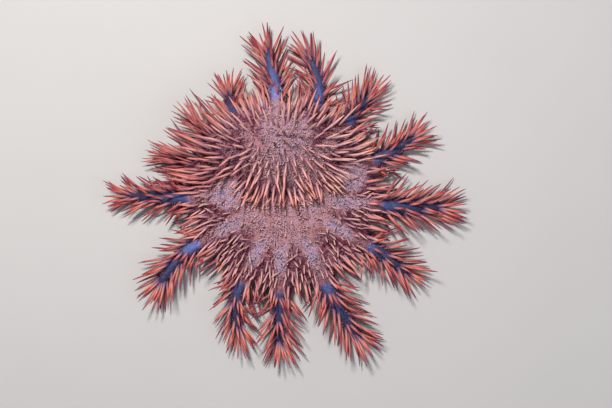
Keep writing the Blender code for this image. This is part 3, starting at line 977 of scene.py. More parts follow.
@dataclass
class Skin:
    """The one skin over the disc and the arms."""

    plan: BodyPlan
    finish: SkinFinish = field(default_factory=SkinFinish)
    disc_segments: int = 168
    disc_rings: int = 72
    limb_sides: int = 28
    limb_rings: int = 44
    voxel: float = 0.0013
    depth: float = 0.0006
    lump_size: float = 0.010
    lump_height: float = 0.0016
    wart_size: float = 0.0035
    wart_height: float = 0.0008
    strip_start: Span = (0.93, 1.13)
    strip_across: Span = (0.90, 0.50)
    strip_rise: Span = (0.1, 0.4)
    edge_across: Span = (0.12, 0.62)
    dulling: float = 0.45
    flank_rise: Span = (-0.7, -0.2)
    beneath_rise: Span = (-0.35, -0.75)
    graininess: float = 0.6
    strip_smoothness: float = 0.6

    def limb(self) -> bpy.types.Mesh:
        """Models a straight limb along +Z, one unit long, which each arm is shaped from.

        Returns:
            Its mesh.
        """
        limb = start_modelling(
            bpy.ops.mesh.primitive_circle_add, vertices=self.limb_sides, radius=1.0, fill_type="NGON"
        )
        bpy.ops.object.mode_set(mode="EDIT")
        bpy.ops.mesh.select_all(action="SELECT")
        step = (0.0, 0.0, 1 / self.limb_rings)
        for _ in range(self.limb_rings):
            bpy.ops.mesh.extrude_region_move(TRANSFORM_OT_translate={"value": step})
        bpy.ops.mesh.select_all(action="SELECT")
        bpy.ops.mesh.normals_make_consistent(inside=False)
        bpy.ops.object.mode_set(mode="OBJECT")
        mesh = limb.data
        bpy.data.objects.remove(limb)
        return mesh

    def arm(self, arm: ArmPlan, limb: bpy.types.Mesh) -> bpy.types.Object:
        """Shapes a copy of the straight limb to one arm.

        Args:
            arm: The arm.
            limb: The straight limb.

        Returns:
            The arm's flesh.
        """
        mesh = limb.copy()
        points = coordinates(mesh)
        radius = self.plan.mouth_edge + (arm.reach - self.plan.mouth_edge) * points[:, 2]
        angle, _ = polar_of(points)
        scale = self.plan.tip_scale(arm, radius)
        set_coordinates(mesh, self.plan.arm_points(arm, radius, angle, scale))
        flesh = bpy.data.objects.new(arm.name, mesh)
        bpy.context.collection.objects.link(flesh)
        return flesh

    def disc(self) -> bpy.types.Object:
        """Shapes a sphere to the disc with its mouth.

        Returns:
            The disc's flesh.
        """
        flesh = start_modelling(
            bpy.ops.mesh.primitive_uv_sphere_add,
            segments=self.disc_segments,
            ring_count=self.disc_rings,
            radius=1.0,
        )
        points = coordinates(flesh.data)
        azimuth, _ = polar_of(points)
        polar = np.arccos(np.clip(points[:, 2], -1, 1))
        set_coordinates(flesh.data, self.plan.disc_points(azimuth, polar))
        return flesh

    def refine(self, skin: bpy.types.Object) -> None:
        """Fuses the joined flesh and gives it its soft lumps and warts.

        Args:
            skin: The joined flesh.
        """
        apply(skin, "REMESH", mode="VOXEL", voxel_size=self.voxel)
        apply(skin, "SMOOTH", factor=0.5, iterations=4)
        apply(skin, "DISPLACE", strength=-self.depth, mid_level=0.0, direction="NORMAL")
        lumps = bpy.data.textures.new("lumps", "CLOUDS")
        lumps.noise_scale = self.lump_size
        warts = bpy.data.textures.new("warts", "VORONOI")
        warts.noise_scale = self.wart_size
        for texture, height in ((lumps, self.lump_height), (warts, -self.wart_height)):
            apply(skin, "DISPLACE", strength=height, mid_level=0.5, texture=texture, texture_coords="LOCAL")
        apply(skin, "SMOOTH", factor=0.4, iterations=1)

    def masks(self, mesh: bpy.types.Mesh) -> None:
        """Stores where each of the skin's colours lies.

        Args:
            mesh: The finished skin.
        """
        points = coordinates(mesh)
        normals = np.empty(len(mesh.vertices) * 3)
        mesh.vertices.foreach_get("normal", normals)
        rise = normals.reshape(-1, 3)[:, 2]
        number, across, _ = self.plan.nearest_arm(points)
        off, web = np.abs(across), self.plan.web_radius
        _, radius = polar_of(points)
        outer = ramp(radius / web, *self.strip_start)
        names = ("glow", "fade", "bare", "reach")
        glow, fade, bare, reach = (np.array([getattr(arm, name) for arm in ARMS])[number] for name in names)
        strip = outer * ramp(off, *self.strip_across) * ramp(rise, *self.strip_rise) * bare
        past = np.clip((radius - web) / (reach - web), 0, 1)
        masks = {
            "edge": ramp(off, *self.edge_across),
            "tone": past * fade + self.dulling * (1 - glow),
            "strip": strip,
            "flank": outer * (1 - strip) * ramp(rise, *self.flank_rise),
            # Painted shade over the skin's own maroon, in the hollows under the spines and between the arms'
            # roots.
            "hollow": self.plan.hollow(points),
            "ridge": self.plan.ridge(points),
            "beneath": ramp(rise, *self.beneath_rise),
            "grain": self.graininess * (1 - self.strip_smoothness * strip),
        }
        for name, values in masks.items():
            store(mesh, name, values)

    def build(self) -> bpy.types.Object:
        """Builds and dresses the skin.

        Returns:
            The finished piece.
        """
        limb = self.limb()
        parts = [self.disc()] + [self.arm(arm, limb) for arm in ARMS]
        bpy.data.meshes.remove(limb)
        bpy.ops.object.select_all(action="DESELECT")
        for part in parts:
            part.select_set(True)
        bpy.context.view_layer.objects.active = parts[0]
        bpy.ops.object.join()
        skin = bpy.context.object
        skin.name = skin.data.name = "skin"
        self.refine(skin)
        points = coordinates(skin.data)
        points[:, 2] = np.maximum(points[:, 2], FLOOR_CLEARANCE)
        set_coordinates(skin.data, points)
        bpy.ops.object.shade_smooth()
        self.masks(skin.data)
        hand_in(skin, self.finish.material(), [DISC_NODE] + [arm.name for arm in ARMS])
        return skin


@dataclass
class SkinProbe:
    """Finds places on the finished skin."""

    skin: bpy.types.Object
    sky: float = 0.3
    rim: float = 0.008

    def __post_init__(self) -> None:
        """Sorts the skin's faces for quick searches."""
        self.tree = BVHTree.FromObject(self.skin, bpy.context.evaluated_depsgraph_get())

    def rows(self, found: Sequence[tuple]) -> tuple[np.ndarray, np.ndarray]:
        """Gives the places and the normals of what a search found, one row each."""
        places, normals = (np.array([hit[part] for hit in found]).reshape(-1, 3) for part in (0, 1))
        return places, normals

    def settle(self, points: np.ndarray) -> tuple[np.ndarray, np.ndarray]:
        """Moves points to the nearest place on the skin.

        Args:
            points: One row for each point.

        Returns:
            The places and the skin's normals there.
        """
        return self.rows([self.tree.find_nearest(Vector(point)) for point in points])

    def drop(self, x: np.ndarray, y: np.ndarray) -> tuple[np.ndarray, np.ndarray]:
        """Drops points onto the skin from above.

        Args:
            x: Places along X.
            y: Places along Y.

        Returns:
            The places on the skin and its normals there. A point that misses it goes to its nearest place.
        """
        down = Vector((0, 0, -1))
        found = []
        for across, along in zip(x, y):
            hit = self.tree.ray_cast(Vector((across, along, self.sky)), down)
            found.append(hit if hit[0] else self.tree.find_nearest(Vector((across, along, self.rim))))
        return self.rows(found)


@dataclass(frozen=True)
class Form:
    """A small tapered form that stands along +Z, modelled once and copied.

    Args:
        sides: How many sides it has.
        profile: Its radii from root to end, each with its height, both as shares.
    """

    name: str
    sides: int
    profile: tuple[tuple[float, float], ...]

    def model(self) -> bpy.types.Mesh:
        """Draws the form out of a small disc, ring by ring, and closes it to a point.

        Returns:
            Its mesh, as long as its heights say.
        """
        (height, radius), *rings = self.profile
        piece = start_modelling(
            bpy.ops.mesh.primitive_circle_add,
            vertices=self.sides,
            radius=radius,
            fill_type="NGON",
            location=(0, 0, height),
        )
        bpy.ops.object.mode_set(mode="EDIT")
        bpy.ops.mesh.select_all(action="SELECT")
        for next_height, next_radius in rings:
            bpy.ops.mesh.extrude_region_move(TRANSFORM_OT_translate={"value": (0, 0, next_height - height)})
            share = next_radius / radius
            bpy.ops.transform.resize(value=(share, share, 1), center_override=(0, 0, next_height))
            height, radius = next_height, next_radius
        bpy.ops.mesh.merge(type="CENTER")
        bpy.ops.mesh.select_all(action="SELECT")
        bpy.ops.mesh.normals_make_consistent(inside=False)
        bpy.ops.object.mode_set(mode="OBJECT")
        bpy.ops.object.transform_apply(location=True, rotation=True, scale=True)
        mesh = piece.data
        bpy.data.objects.remove(piece)
        return mesh


@dataclass
class Plot:
    """Where the copies of a form stand, one row for each copy.

    Args:
        roots: Places on the skin.
        ways: Directions of the copies' ends from their roots.
        lengths: Their lengths.
        girths: Their thickness, in metres for a radius of 1 in the form's profile.
        patches: Places of their roots on an unwrap of the skin, from 0 to 1.
        bows: How far the middle of each is bowed, and which way.
        on_arm: How much each has of the arms' colours.
        pale: How pale each is.
        shaded: How much painted shade darkens each.
    """

    roots: np.ndarray
    ways: np.ndarray
    lengths: np.ndarray
    girths: np.ndarray
    patches: np.ndarray
    bows: np.ndarray | float = 0.0
    on_arm: np.ndarray | float = 0.0
    pale: np.ndarray | float = 0.0
    shaded: np.ndarray | float = 0.0

    def __post_init__(self) -> None:
        """Gives every copy its own row where one number stands for all."""
        self.bows = np.broadcast_to(self.bows, self.roots.shape)
        for name in ("on_arm", "pale", "shaded"):
            setattr(self, name, np.broadcast_to(getattr(self, name), len(self.roots)))

    @classmethod
    def joined(cls, plots: Sequence["Plot"]) -> "Plot":
        """Lays several plots end to end."""
        names = [column.name for column in fields(cls)]
        return cls(*(np.concatenate([getattr(plot, name) for plot in plots]) for name in names))

    def trimmed(self) -> "Plot":
        """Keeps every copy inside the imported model's box and off the floor.

        Returns:
            The plot, with lower ends raised and long copies cut short.
        """
        low = np.array(CAD_LOW) + BOX_MARGIN
        high = np.array(CAD_HIGH) - BOX_MARGIN
        low[2] = FLOOR_CLEARANCE * 2
        ends = self.roots + self.ways * self.lengths[:, None]
        ends[:, 2] = np.maximum(ends[:, 2], low[2])
        run = ends - self.roots
        with np.errstate(divide="ignore", invalid="ignore"):
            room = np.where(run > 0, (high - self.roots) / run, (low - self.roots) / run)
        share = np.nanmin(np.where(np.abs(run) < TINY, np.inf, room), axis=1)
        run = run * np.clip(share, SHORTEST_SHARE, 1)[:, None]
        self.lengths = np.linalg.norm(run, axis=1)
        self.ways = unit(run)
        return self


@dataclass
class Coat:
    """Many copies of one form, joined into one mesh that stands on the skin.

    Args:
        name: The piece's name.
        form: What is copied.
        slot: The record's slot for its finish.
        nodes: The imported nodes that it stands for.
        patch: Width of a copy's patch on the unwrap.
        root_strip: How much of the patch's height the form's root takes.
        root_middle: Where in that strip the root's middle lies.
        root_width: How much of that strip the root fills.
        side_corners: The most corners that a face of the form's sides has. Its root has more.
        turn_room: Width of the form's sides on the patch, in turns, with room for the seam.
        steep: The rise from which a copy counts as upright.
    """

    name: str
    form: Form
    slot: Slot
    nodes: Sequence[str]
    patch: float = 0.003
    root_strip: float = 0.15
    root_middle: float = 0.4
    root_width: float = 0.8
    side_corners: int = 4
    turn_room: float = 1.2
    steep: float = 0.9

    def stand(self, shape: np.ndarray, plot: Plot, spins: np.ndarray) -> np.ndarray:
        """Stands a copy of the form's vertices at every place of the plot.

        Args:
            shape: The form's vertices.
            plot: Where the copies stand.
            spins: How far each is turned on its own axis, in radians.

        Returns:
            The vertices, one layer for each copy.
        """
        along = np.clip(shape[:, 2], 0, 1)
        axis = plot.roots[:, None] + plot.ways[:, None] * (shape[:, 2] * plot.lengths[:, None])[..., None]
        axis = axis + plot.bows[:, None] * (4 * along * (1 - along))[None, :, None]
        steepest = np.where(np.abs(plot.ways[:, 2:]) > self.steep, np.array((1.0, 0, 0)), UP)
        side = unit(np.cross(plot.ways, steepest))
        front = np.cross(plot.ways, side)
        bearing, radius = polar_of(shape)
        angle = bearing[None] + spins[:, None]
        reach = radius[None] * plot.girths[:, None]
        points = axis + side[:, None] * (np.cos(angle) * reach)[..., None]
        points += front[:, None] * (np.sin(angle) * reach)[..., None]
        points[..., 2] = np.maximum(points[..., 2], FLOOR_CLEARANCE)
        return points

    def build(
        self, plot: Plot, material: bpy.types.Material, random: np.random.Generator
    ) -> bpy.types.Object:
        """Copies the form to every place of the plot, as one mesh.

        Args:
            plot: Where the copies stand.
            material: Their finish.
            random: Where their turns and tints come from.

        Returns:
            The finished piece.
        """
        form = self.form.model()
        shape = coordinates(form)
        count, corners = len(plot.roots), len(shape)
        points = self.stand(shape, plot, random.uniform(0, 2 * math.pi, count))

        loops = np.empty(len(form.loops), np.int64)
        form.loops.foreach_get("vertex_index", loops)
        starts = np.array([face.loop_start for face in form.polygons])
        totals = np.array([face.loop_total for face in form.polygons])
        mesh = bpy.data.meshes.new(self.name)
        mesh.vertices.add(count * corners)
        mesh.vertices.foreach_set("co", points.ravel())
        copies = np.arange(count)[:, None]
        mesh.loops.add(count * len(loops))
        mesh.loops.foreach_set("vertex_index", (loops[None] + copies * corners).ravel())
        mesh.polygons.add(count * len(starts))
        mesh.polygons.foreach_set("loop_start", (starts[None] + copies * len(loops)).ravel())
        mesh.polygons.foreach_set("loop_total", np.tile(totals, count))
        mesh.polygons.foreach_set("use_smooth", np.ones(count * len(starts), bool))
        store(mesh, "along", np.tile(np.clip(shape[:, 2], 0, 1), count))
        looks = {"tint": random.random(count), "arm": plot.on_arm, "pale": plot.pale, "shaded": plot.shaded}
        for name, values in looks.items():
            store(mesh, name, np.repeat(values, corners))
        patch = self.unwrap(shape[loops], starts, totals)
        places = plot.patches[:, None] + self.patch * patch[None]
        mesh.uv_layers.new(name="OFBake").data.foreach_set("uv", places.ravel())
        mesh.update(calc_edges=True)
        mesh.validate()
        piece = bpy.data.objects.new(self.name, mesh)
        bpy.context.collection.objects.link(piece)
        bpy.data.meshes.remove(form)
        hand_in(piece, material, self.nodes)
        return piece

    def unwrap(self, corners: np.ndarray, starts: np.ndarray, totals: np.ndarray) -> np.ndarray:
        """Unwraps the form: its sides stand over its round root, and no face loses its width.

        Args:
            corners: The vertex at each corner of the form's faces.
            starts: The first corner of each face.
            totals: How many corners each face has.

        Returns:
            The place of each corner on a patch, from 0 to 1.
        """
        bearing, radius = polar_of(corners)
        turn = bearing / (2 * math.pi) % 1
        height = corners[:, 2]
        low, high = height.min(), height.max()
        up = self.root_strip + (1 - self.root_strip) * (height - low) / (high - low)
        local = np.empty((len(corners), 2))
        for start, total in zip(starts, totals):
            part = slice(start, start + total)
            if total > self.side_corners:
                share = corners[part, :2] / (2 * np.abs(corners[part, :2]).max())
                up_strip = self.root_middle + self.root_width * share[:, 1]
                place = (0.5 + share[:, 0], self.root_strip * up_strip)
            else:
                around, on_axis = turn[part], radius[part] < ON_AXIS
                edge = around[~on_axis]
                edge = np.where(edge.max() - edge > 0.5, edge + 1, edge)
                around[~on_axis] = edge
                around[on_axis] = edge.mean()
                place = (np.clip(around, 0, self.turn_room) / self.turn_room, up[part])
            local[part] = np.stack(place, axis=1)
        return local


def sideways(ways: np.ndarray, random: np.random.Generator) -> np.ndarray:
    """Gives for each direction a random one at right angles to it."""
    return unit(np.cross(ways, random.normal(size=ways.shape)))


def spread_out(places: np.ndarray, gaps: np.ndarray) -> np.ndarray:
    """Picks places that keep their distance from each other, in the order given.

    Args:
        places: Candidate places in plan.
        gaps: The distance that each keeps from those picked before it.

    Returns:
        The numbers of the places picked.
    """
    picked: list[int] = []
    taken = np.empty_like(places)
    for number, (place, gap) in enumerate(zip(places, gaps)):
        if not picked or np.min(np.sum((taken[: len(picked)] - place) ** 2, axis=1)) > gap * gap:
            taken[len(picked)] = place
            picked.append(number)
    return np.array(picked)


@dataclass
class Unwrap:
    """Unwraps the disc as a round, and the arms as strips, one above the other."""

    plan: BodyPlan
    middle: float = 0.498
    span: float = 0.485
    strip: Span = (0.004, 0.985)
    strip_inset: Span = (0.04, 0.88)

    def on_disc(self, points: np.ndarray) -> np.ndarray:
        """Gives the places of points of the disc, by their distance from its top along the skin.

        Args:
            points: Points on the upper skin of the disc.

        Returns:
            Two numbers from 0 to 1 for each.
        """
        bearing, radius = polar_of(points)
        share = np.clip(radius / self.plan.web_edge(bearing), 0, 1)
        return self.middle + on_plan(bearing, np.arcsin(share) / (math.pi / 2) * self.span)[:, :2]

    def on_arm(self, number: int, radius: np.ndarray, angle: np.ndarray) -> np.ndarray:
        """Gives the places of points of one arm.

        Args:
            number: The arm's place in the list of arms.
            radius: Distances from the middle of the disc.
            angle: Angles round the section in radians.

        Returns:
            Two numbers from 0 to 1 for each.
        """
        along = self.strip[0] + self.strip[1] * self.plan.share_along(ARMS[number], radius)
        around = self.strip_inset[0] + self.strip_inset[1] * ((angle / (2 * math.pi)) % 1)
        return np.stack((along, (number + around) / len(ARMS)), axis=1)


@dataclass
class DiscSpines:
    """The spines of the disc, combed out from the mound's peak and over the disc's rim."""

    plan: BodyPlan
    probe: SkinProbe
    candidates: int = 20000
    dense_gap: float = 0.0047
    calm_gap: float = 0.0092
    quiet_share: float = 0.5
    quiet_out: Span = (0.66, 0.42)
    peak_gap: float = 0.0064
    peak_share: Span = (0.85, 0.60)
    root_half_width: float = 0.42
    root_start: float = 0.88
    ridge_half_width: float = 0.30
    ridge_start: float = 0.55
    ridge_middle: float = 0.74
    ridge_luck: Span = (0.10, 0.80)
    fold_luck: float = 0.08
    rim_candidates: int = 5000
    rim_polar: Span = (64.0, 104.0)
    rim_left: Span = (0.62, 0.30)
    rim_left_closeness: float = 0.4
    rim_height: float = 0.016
    rim_off_arm: float = 0.8
    rim_gap: float = 0.0056
    rim_length: float = 0.027
    rim_girth: float = 0.00130
    rim_arm: float = 0.6
    # Painted shade on the rim spines, deeper the lower they stand on the disc's edge.
    rim_shade: float = 0.75
    rim_shade_polar: Span = (1.2, 1.7)
    rim_skin_pull: float = 0.4
    rim_upward_pull: float = 0.2
    calm_foot: Span = (1.02, 1.22)
    calm_out: Span = (0.86, 0.70)
    calm_valley: float = 0.24
    calm_length: float = 0.009
    calm_variety: float = 0.35
    foot_length: float = 0.012
    foot_share: Span = (0.84, 1.06)
    far_reach: float = 0.35
    leaning_length: float = 0.026
    length_spread: Span = (0.72, 1.16)
    girth: float = 0.00114
    hump_lean: Span = (0.10, 0.70)
    hump_lean_end: Span = (1.2, 1.0)
    hump_pull: float = 0.50
    brow_lean: Span = (0.80, 1.70)
    brow_pull: float = 0.85
    brow_middle: Span = (0.8, 0.4)
    brow_lengths: Span = (0.0110, 0.0195)
    beside_brow_length: float = 0.018
    # Shares of the way from the mound's peak to its foot, and the spines' lengths there.
    hump_lengths: tuple[tuple[float, ...], tuple[float, ...]] = (
        (0.0, 0.14, 0.34, 0.62, 0.90),
        (0.016, 0.011, 0.015, 0.020, 0.026),
    )
    rim_reach: Span = (0.84, 1.08)
    slimness: float = 0.28
    slim_lengths: Span = (0.022, 0.012)
    flat_foot: Span = (0.95, 1.1)
    flat_stray: float = 0.24
    left_fullness: float = 0.75
    paling: Span = (0.66, 0.15)
    flat_paling_out: Span = (1.0, 0.66)
    right_start: Span = (0.02, 0.05)
    left_start: Span = (-0.045, -0.080)
    upper_start: Span = (-0.01, 0.02)
    right_paling: float = 0.6
    left_redness: float = 0.6
    far_redness: float = 0.75
    rim_redness: float = 0.6
    rim_redness_out: Span = (0.85, 1.1)
    unevenness: float = 0.035
    waves: tuple[Span, ...] = ((611, 173), (1013, -449))
    rim_lean: Span = (0.66, 0.94)
    rim_lean_valley: float = 0.14
    calm_lean: float = 0.35
    calm_stray: float = 0.14
    skin_pull: float = 0.75
    outward_pull: float = 1.3
    upward_pull: float = 0.15
    stray: float = 0.15
    bow: float = 0.012
    sag: float = 0.015

    def ragged(self, x: np.ndarray, y: np.ndarray) -> np.ndarray:
        """Gives small uneven shifts of the mound's foot, so that its lowest spines don't end in a line."""
        return self.unevenness * sum(np.sin(x * across + y * along) for across, along in self.waves)

    def out(self, x: np.ndarray, y: np.ndarray) -> np.ndarray:
        """Gives how far out a place lies as a share of the disc's radius."""
        return np.hypot(x, y) / self.plan.web_radius

    def calm(self, x: np.ndarray, y: np.ndarray) -> np.ndarray:
        """Gives how much a place lies in the calm crescent between the mound and the rim.

        Args:
            x: Places along X.
            y: Places along Y.

        Returns:
            Shares from 0 to 1.
        """
        foot = ramp(self.plan.hump_share(x, y), *self.calm_foot)
        out = self.out(x, y) + self.calm_valley * self.plan.valley(np.stack((x, y), axis=1))
        return np.maximum(foot * ramp(out, *self.calm_out), self.plan.on_patch(x, y))

    def paleness(self, x: np.ndarray, y: np.ndarray) -> np.ndarray:
        """Gives how pale spines are: most at the mound's peak and on the inner part of the flat disc.

        Args:
            x: Places along X.
            y: Places along Y.

        Returns:
            Shares from 0 to 1.
        """
        share = self.plan.hump_share(x, y)
        right = self.right_paling * ramp(x, *self.right_start) * ramp(y, *self.upper_start)
        top = ramp(share, *self.paling) * (1 - self.far_redness * self.plan.far_side(y))
        flat = ramp(share, *self.flat_foot) * ramp(self.out(x, y), *self.flat_paling_out)
        return np.maximum.reduce((right, top, flat))

    def redness(self, x: np.ndarray, y: np.ndarray) -> np.ndarray:
        """Gives how red spines are, as the arms' are: most near the rim and at the mound's left.

        Args:
            x: Places along X.
            y: Places along Y.

        Returns:
            Shares from 0 to 1.
        """
        left = self.left_redness * ramp(x, *self.left_start) * ramp(y, *self.upper_start)
        return np.maximum(self.rim_redness * ramp(self.out(x, y), *self.rim_redness_out), left)

    def lean(self, points: np.ndarray) -> tuple[np.ndarray, np.ndarray]:
        """Gives the way that the spines are combed.

        Args:
            points: Roots on the skin.

        Returns:
            The outward pull on each spine, and its length in full.
        """
        x, y = points[:, 0], points[:, 1]
        plan, ragged, out = self.plan, self.ragged(x, y), self.out(x, y)
        share, calm, brow = plan.hump_share(x, y) + ragged, self.calm(x, y), plan.brow_share(x, y)
        off_brow = ramp(brow + ragged, *self.brow_lean)
        hump = np.maximum(ramp(share, *self.hump_lean), self.brow_pull * off_brow)
        hump *= self.hump_pull * ramp(share, *self.hump_lean_end)
        rim = ramp(out + self.rim_lean_valley * plan.valley(points), *self.rim_lean)
        gentle = np.maximum(rim, self.calm_lean * calm)
        from_peak = unit(np.stack((x - plan.peak[0], y - plan.peak[1], 0 * x), axis=1))
        from_middle = unit(np.stack((x, y, 0 * x), axis=1))
        pull = from_peak * hump[:, None] + from_middle * gentle[:, None]
        share_along = share + self.far_reach * plan.far_side(y)
        lengths = np.maximum(np.interp(share_along, *self.hump_lengths), self.beside_brow_length * off_brow)
        edge, middle = self.brow_lengths
        for goal, amount in (
            (edge + (middle - edge) * ramp(brow, *self.brow_middle), plan.on_brow(x, y)),
            (self.foot_length, ramp(share, *self.foot_share)),
            (self.calm_length, calm),
            (self.leaning_length, ramp(out, *self.rim_reach)),
        ):
            lengths = lengths + (goal - lengths) * amount
        return pull, lengths

    def bald(self, x: np.ndarray, y: np.ndarray, luck: np.ndarray) -> np.ndarray:
        """Tells where no spine stands: on the arms' crests, and on most of the ridges and the fold.

        Args:
            x: Places along X.
            y: Places along Y.
            luck: A random number from 0 to 1 for each place.

        Returns:
            True for each place that stays bald.
        """
        _, across, _ = self.plan.nearest_arm(np.stack((x, y), axis=1))
        out, off = self.out(x, y), np.abs(across)
        root = (off < self.root_half_width) & (out > self.root_start)
        inner, outer = self.ridge_luck
        ridge = (self.plan.hump_share(x, y) > 1) & (off < self.ridge_half_width) & (out > self.ridge_start)
        ridge &= luck > np.where(out > self.ridge_middle, outer, inner)
        return root | ridge | ((self.plan.on_fold(x, y) > 0.5) & (luck > self.fold_luck))

    def plot(self, random: np.random.Generator) -> Plot:
        """Sets out the spines.

        Args:
            random: Where their variety comes from.

        Returns:
            The plot of the spines.
        """
        bearing = random.uniform(-math.pi, math.pi, self.candidates)
        radius = self.plan.web_edge(bearing) * np.sqrt(random.random(self.candidates))
        x, y = radius * np.cos(bearing), radius * np.sin(bearing)
        calm, quiet = self.calm(x, y), ramp(self.out(x, y), *self.quiet_out)
        top = ramp(self.plan.hump_share(x, y), *self.peak_share) * (1 - self.plan.far_side(y))
        gaps = self.dense_gap + (self.calm_gap - self.dense_gap) * calm * (1 + self.quiet_share * quiet)
        gaps += (self.peak_gap - self.dense_gap) * top
        kept = ~self.bald(x, y, random.random(len(x)))
        x, y, gaps, calm = (values[kept] for values in (x, y, gaps, calm))
        picked = spread_out(np.stack((x, y), axis=1), gaps)
        x, y, calm = (values[picked] for values in (x, y, calm))
        roots, normals = self.probe.drop(x, y)
        count = len(roots)
        pull, full = self.lean(roots)
        ways = normals * self.skin_pull + pull * self.outward_pull + UP * self.upward_pull
        stray = self.stray + self.flat_stray * ramp(self.plan.hump_share(x, y), *self.flat_foot)
        stray += self.calm_stray * calm
        ways = unit(ways + random.normal(size=ways.shape) * stray[:, None])
        lengths = full * random.uniform(*self.length_spread, count)
        lengths *= 1 - self.calm_variety * calm * random.random(count)
        slim = 1 - self.slimness * ramp(full, *self.slim_lengths)
        bows = sideways(ways, random) * self.bow + UP * self.sag
        return Plot(
            roots=roots,
            ways=ways,
            lengths=lengths,
            girths=self.girth * slim * random.uniform(*GIRTH_SPREAD, count),
            patches=Unwrap(self.plan).on_disc(roots),
            bows=bows * lengths[:, None],
            on_arm=self.redness(roots[:, 0], roots[:, 1]),
            pale=np.maximum(calm, self.paleness(roots[:, 0], roots[:, 1])),
        ).trimmed()

    def rim_plot(self, random: np.random.Generator) -> Plot:
        """Sets out the spines that fill the notches between the arms, on the disc's edge.

        Args:
            random: Where their variety comes from.

        Returns:
            The plot of the spines.
        """
        bearing = random.uniform(-math.pi, math.pi, self.rim_candidates)
        polar = np.radians(random.uniform(*self.rim_polar, self.rim_candidates))
        guess = self.plan.disc_points(bearing, polar)
        left = ramp(np.abs(turn_between(bearing, self.plan.bulge_bearing)), *self.rim_left)
        places = np.stack((bearing * self.plan.web_radius, polar * self.rim_height), axis=1)
        picked = spread_out(places, self.rim_gap * (1 - self.rim_left_closeness * left))
        _, across, _ = self.plan.nearest_arm(guess)
        picked = picked[np.abs(across[picked]) > self.rim_off_arm]
        roots, normals = self.probe.settle(guess[picked])
        ways = on_plan(bearing[picked], 1.0) + normals * self.rim_skin_pull + UP * self.rim_upward_pull
        ways = unit(ways + random.normal(scale=self.stray, size=roots.shape))
        lengths = self.rim_length * (1 + self.left_fullness * left[picked])
        lengths *= random.uniform(*self.length_spread, len(roots))
        return Plot(
            roots=roots,
            ways=ways,
            lengths=lengths,
            girths=self.rim_girth * random.uniform(*GIRTH_SPREAD, len(roots)),
            patches=Unwrap(self.plan).on_disc(roots),
            bows=sideways(ways, random) * self.bow * lengths[:, None],
            on_arm=self.rim_arm,
            # Painted shade, deeper on the spines that stand lower on the edge.
            shaded=ramp(polar[picked], *self.rim_shade_polar) * self.rim_shade,
        ).trimmed()


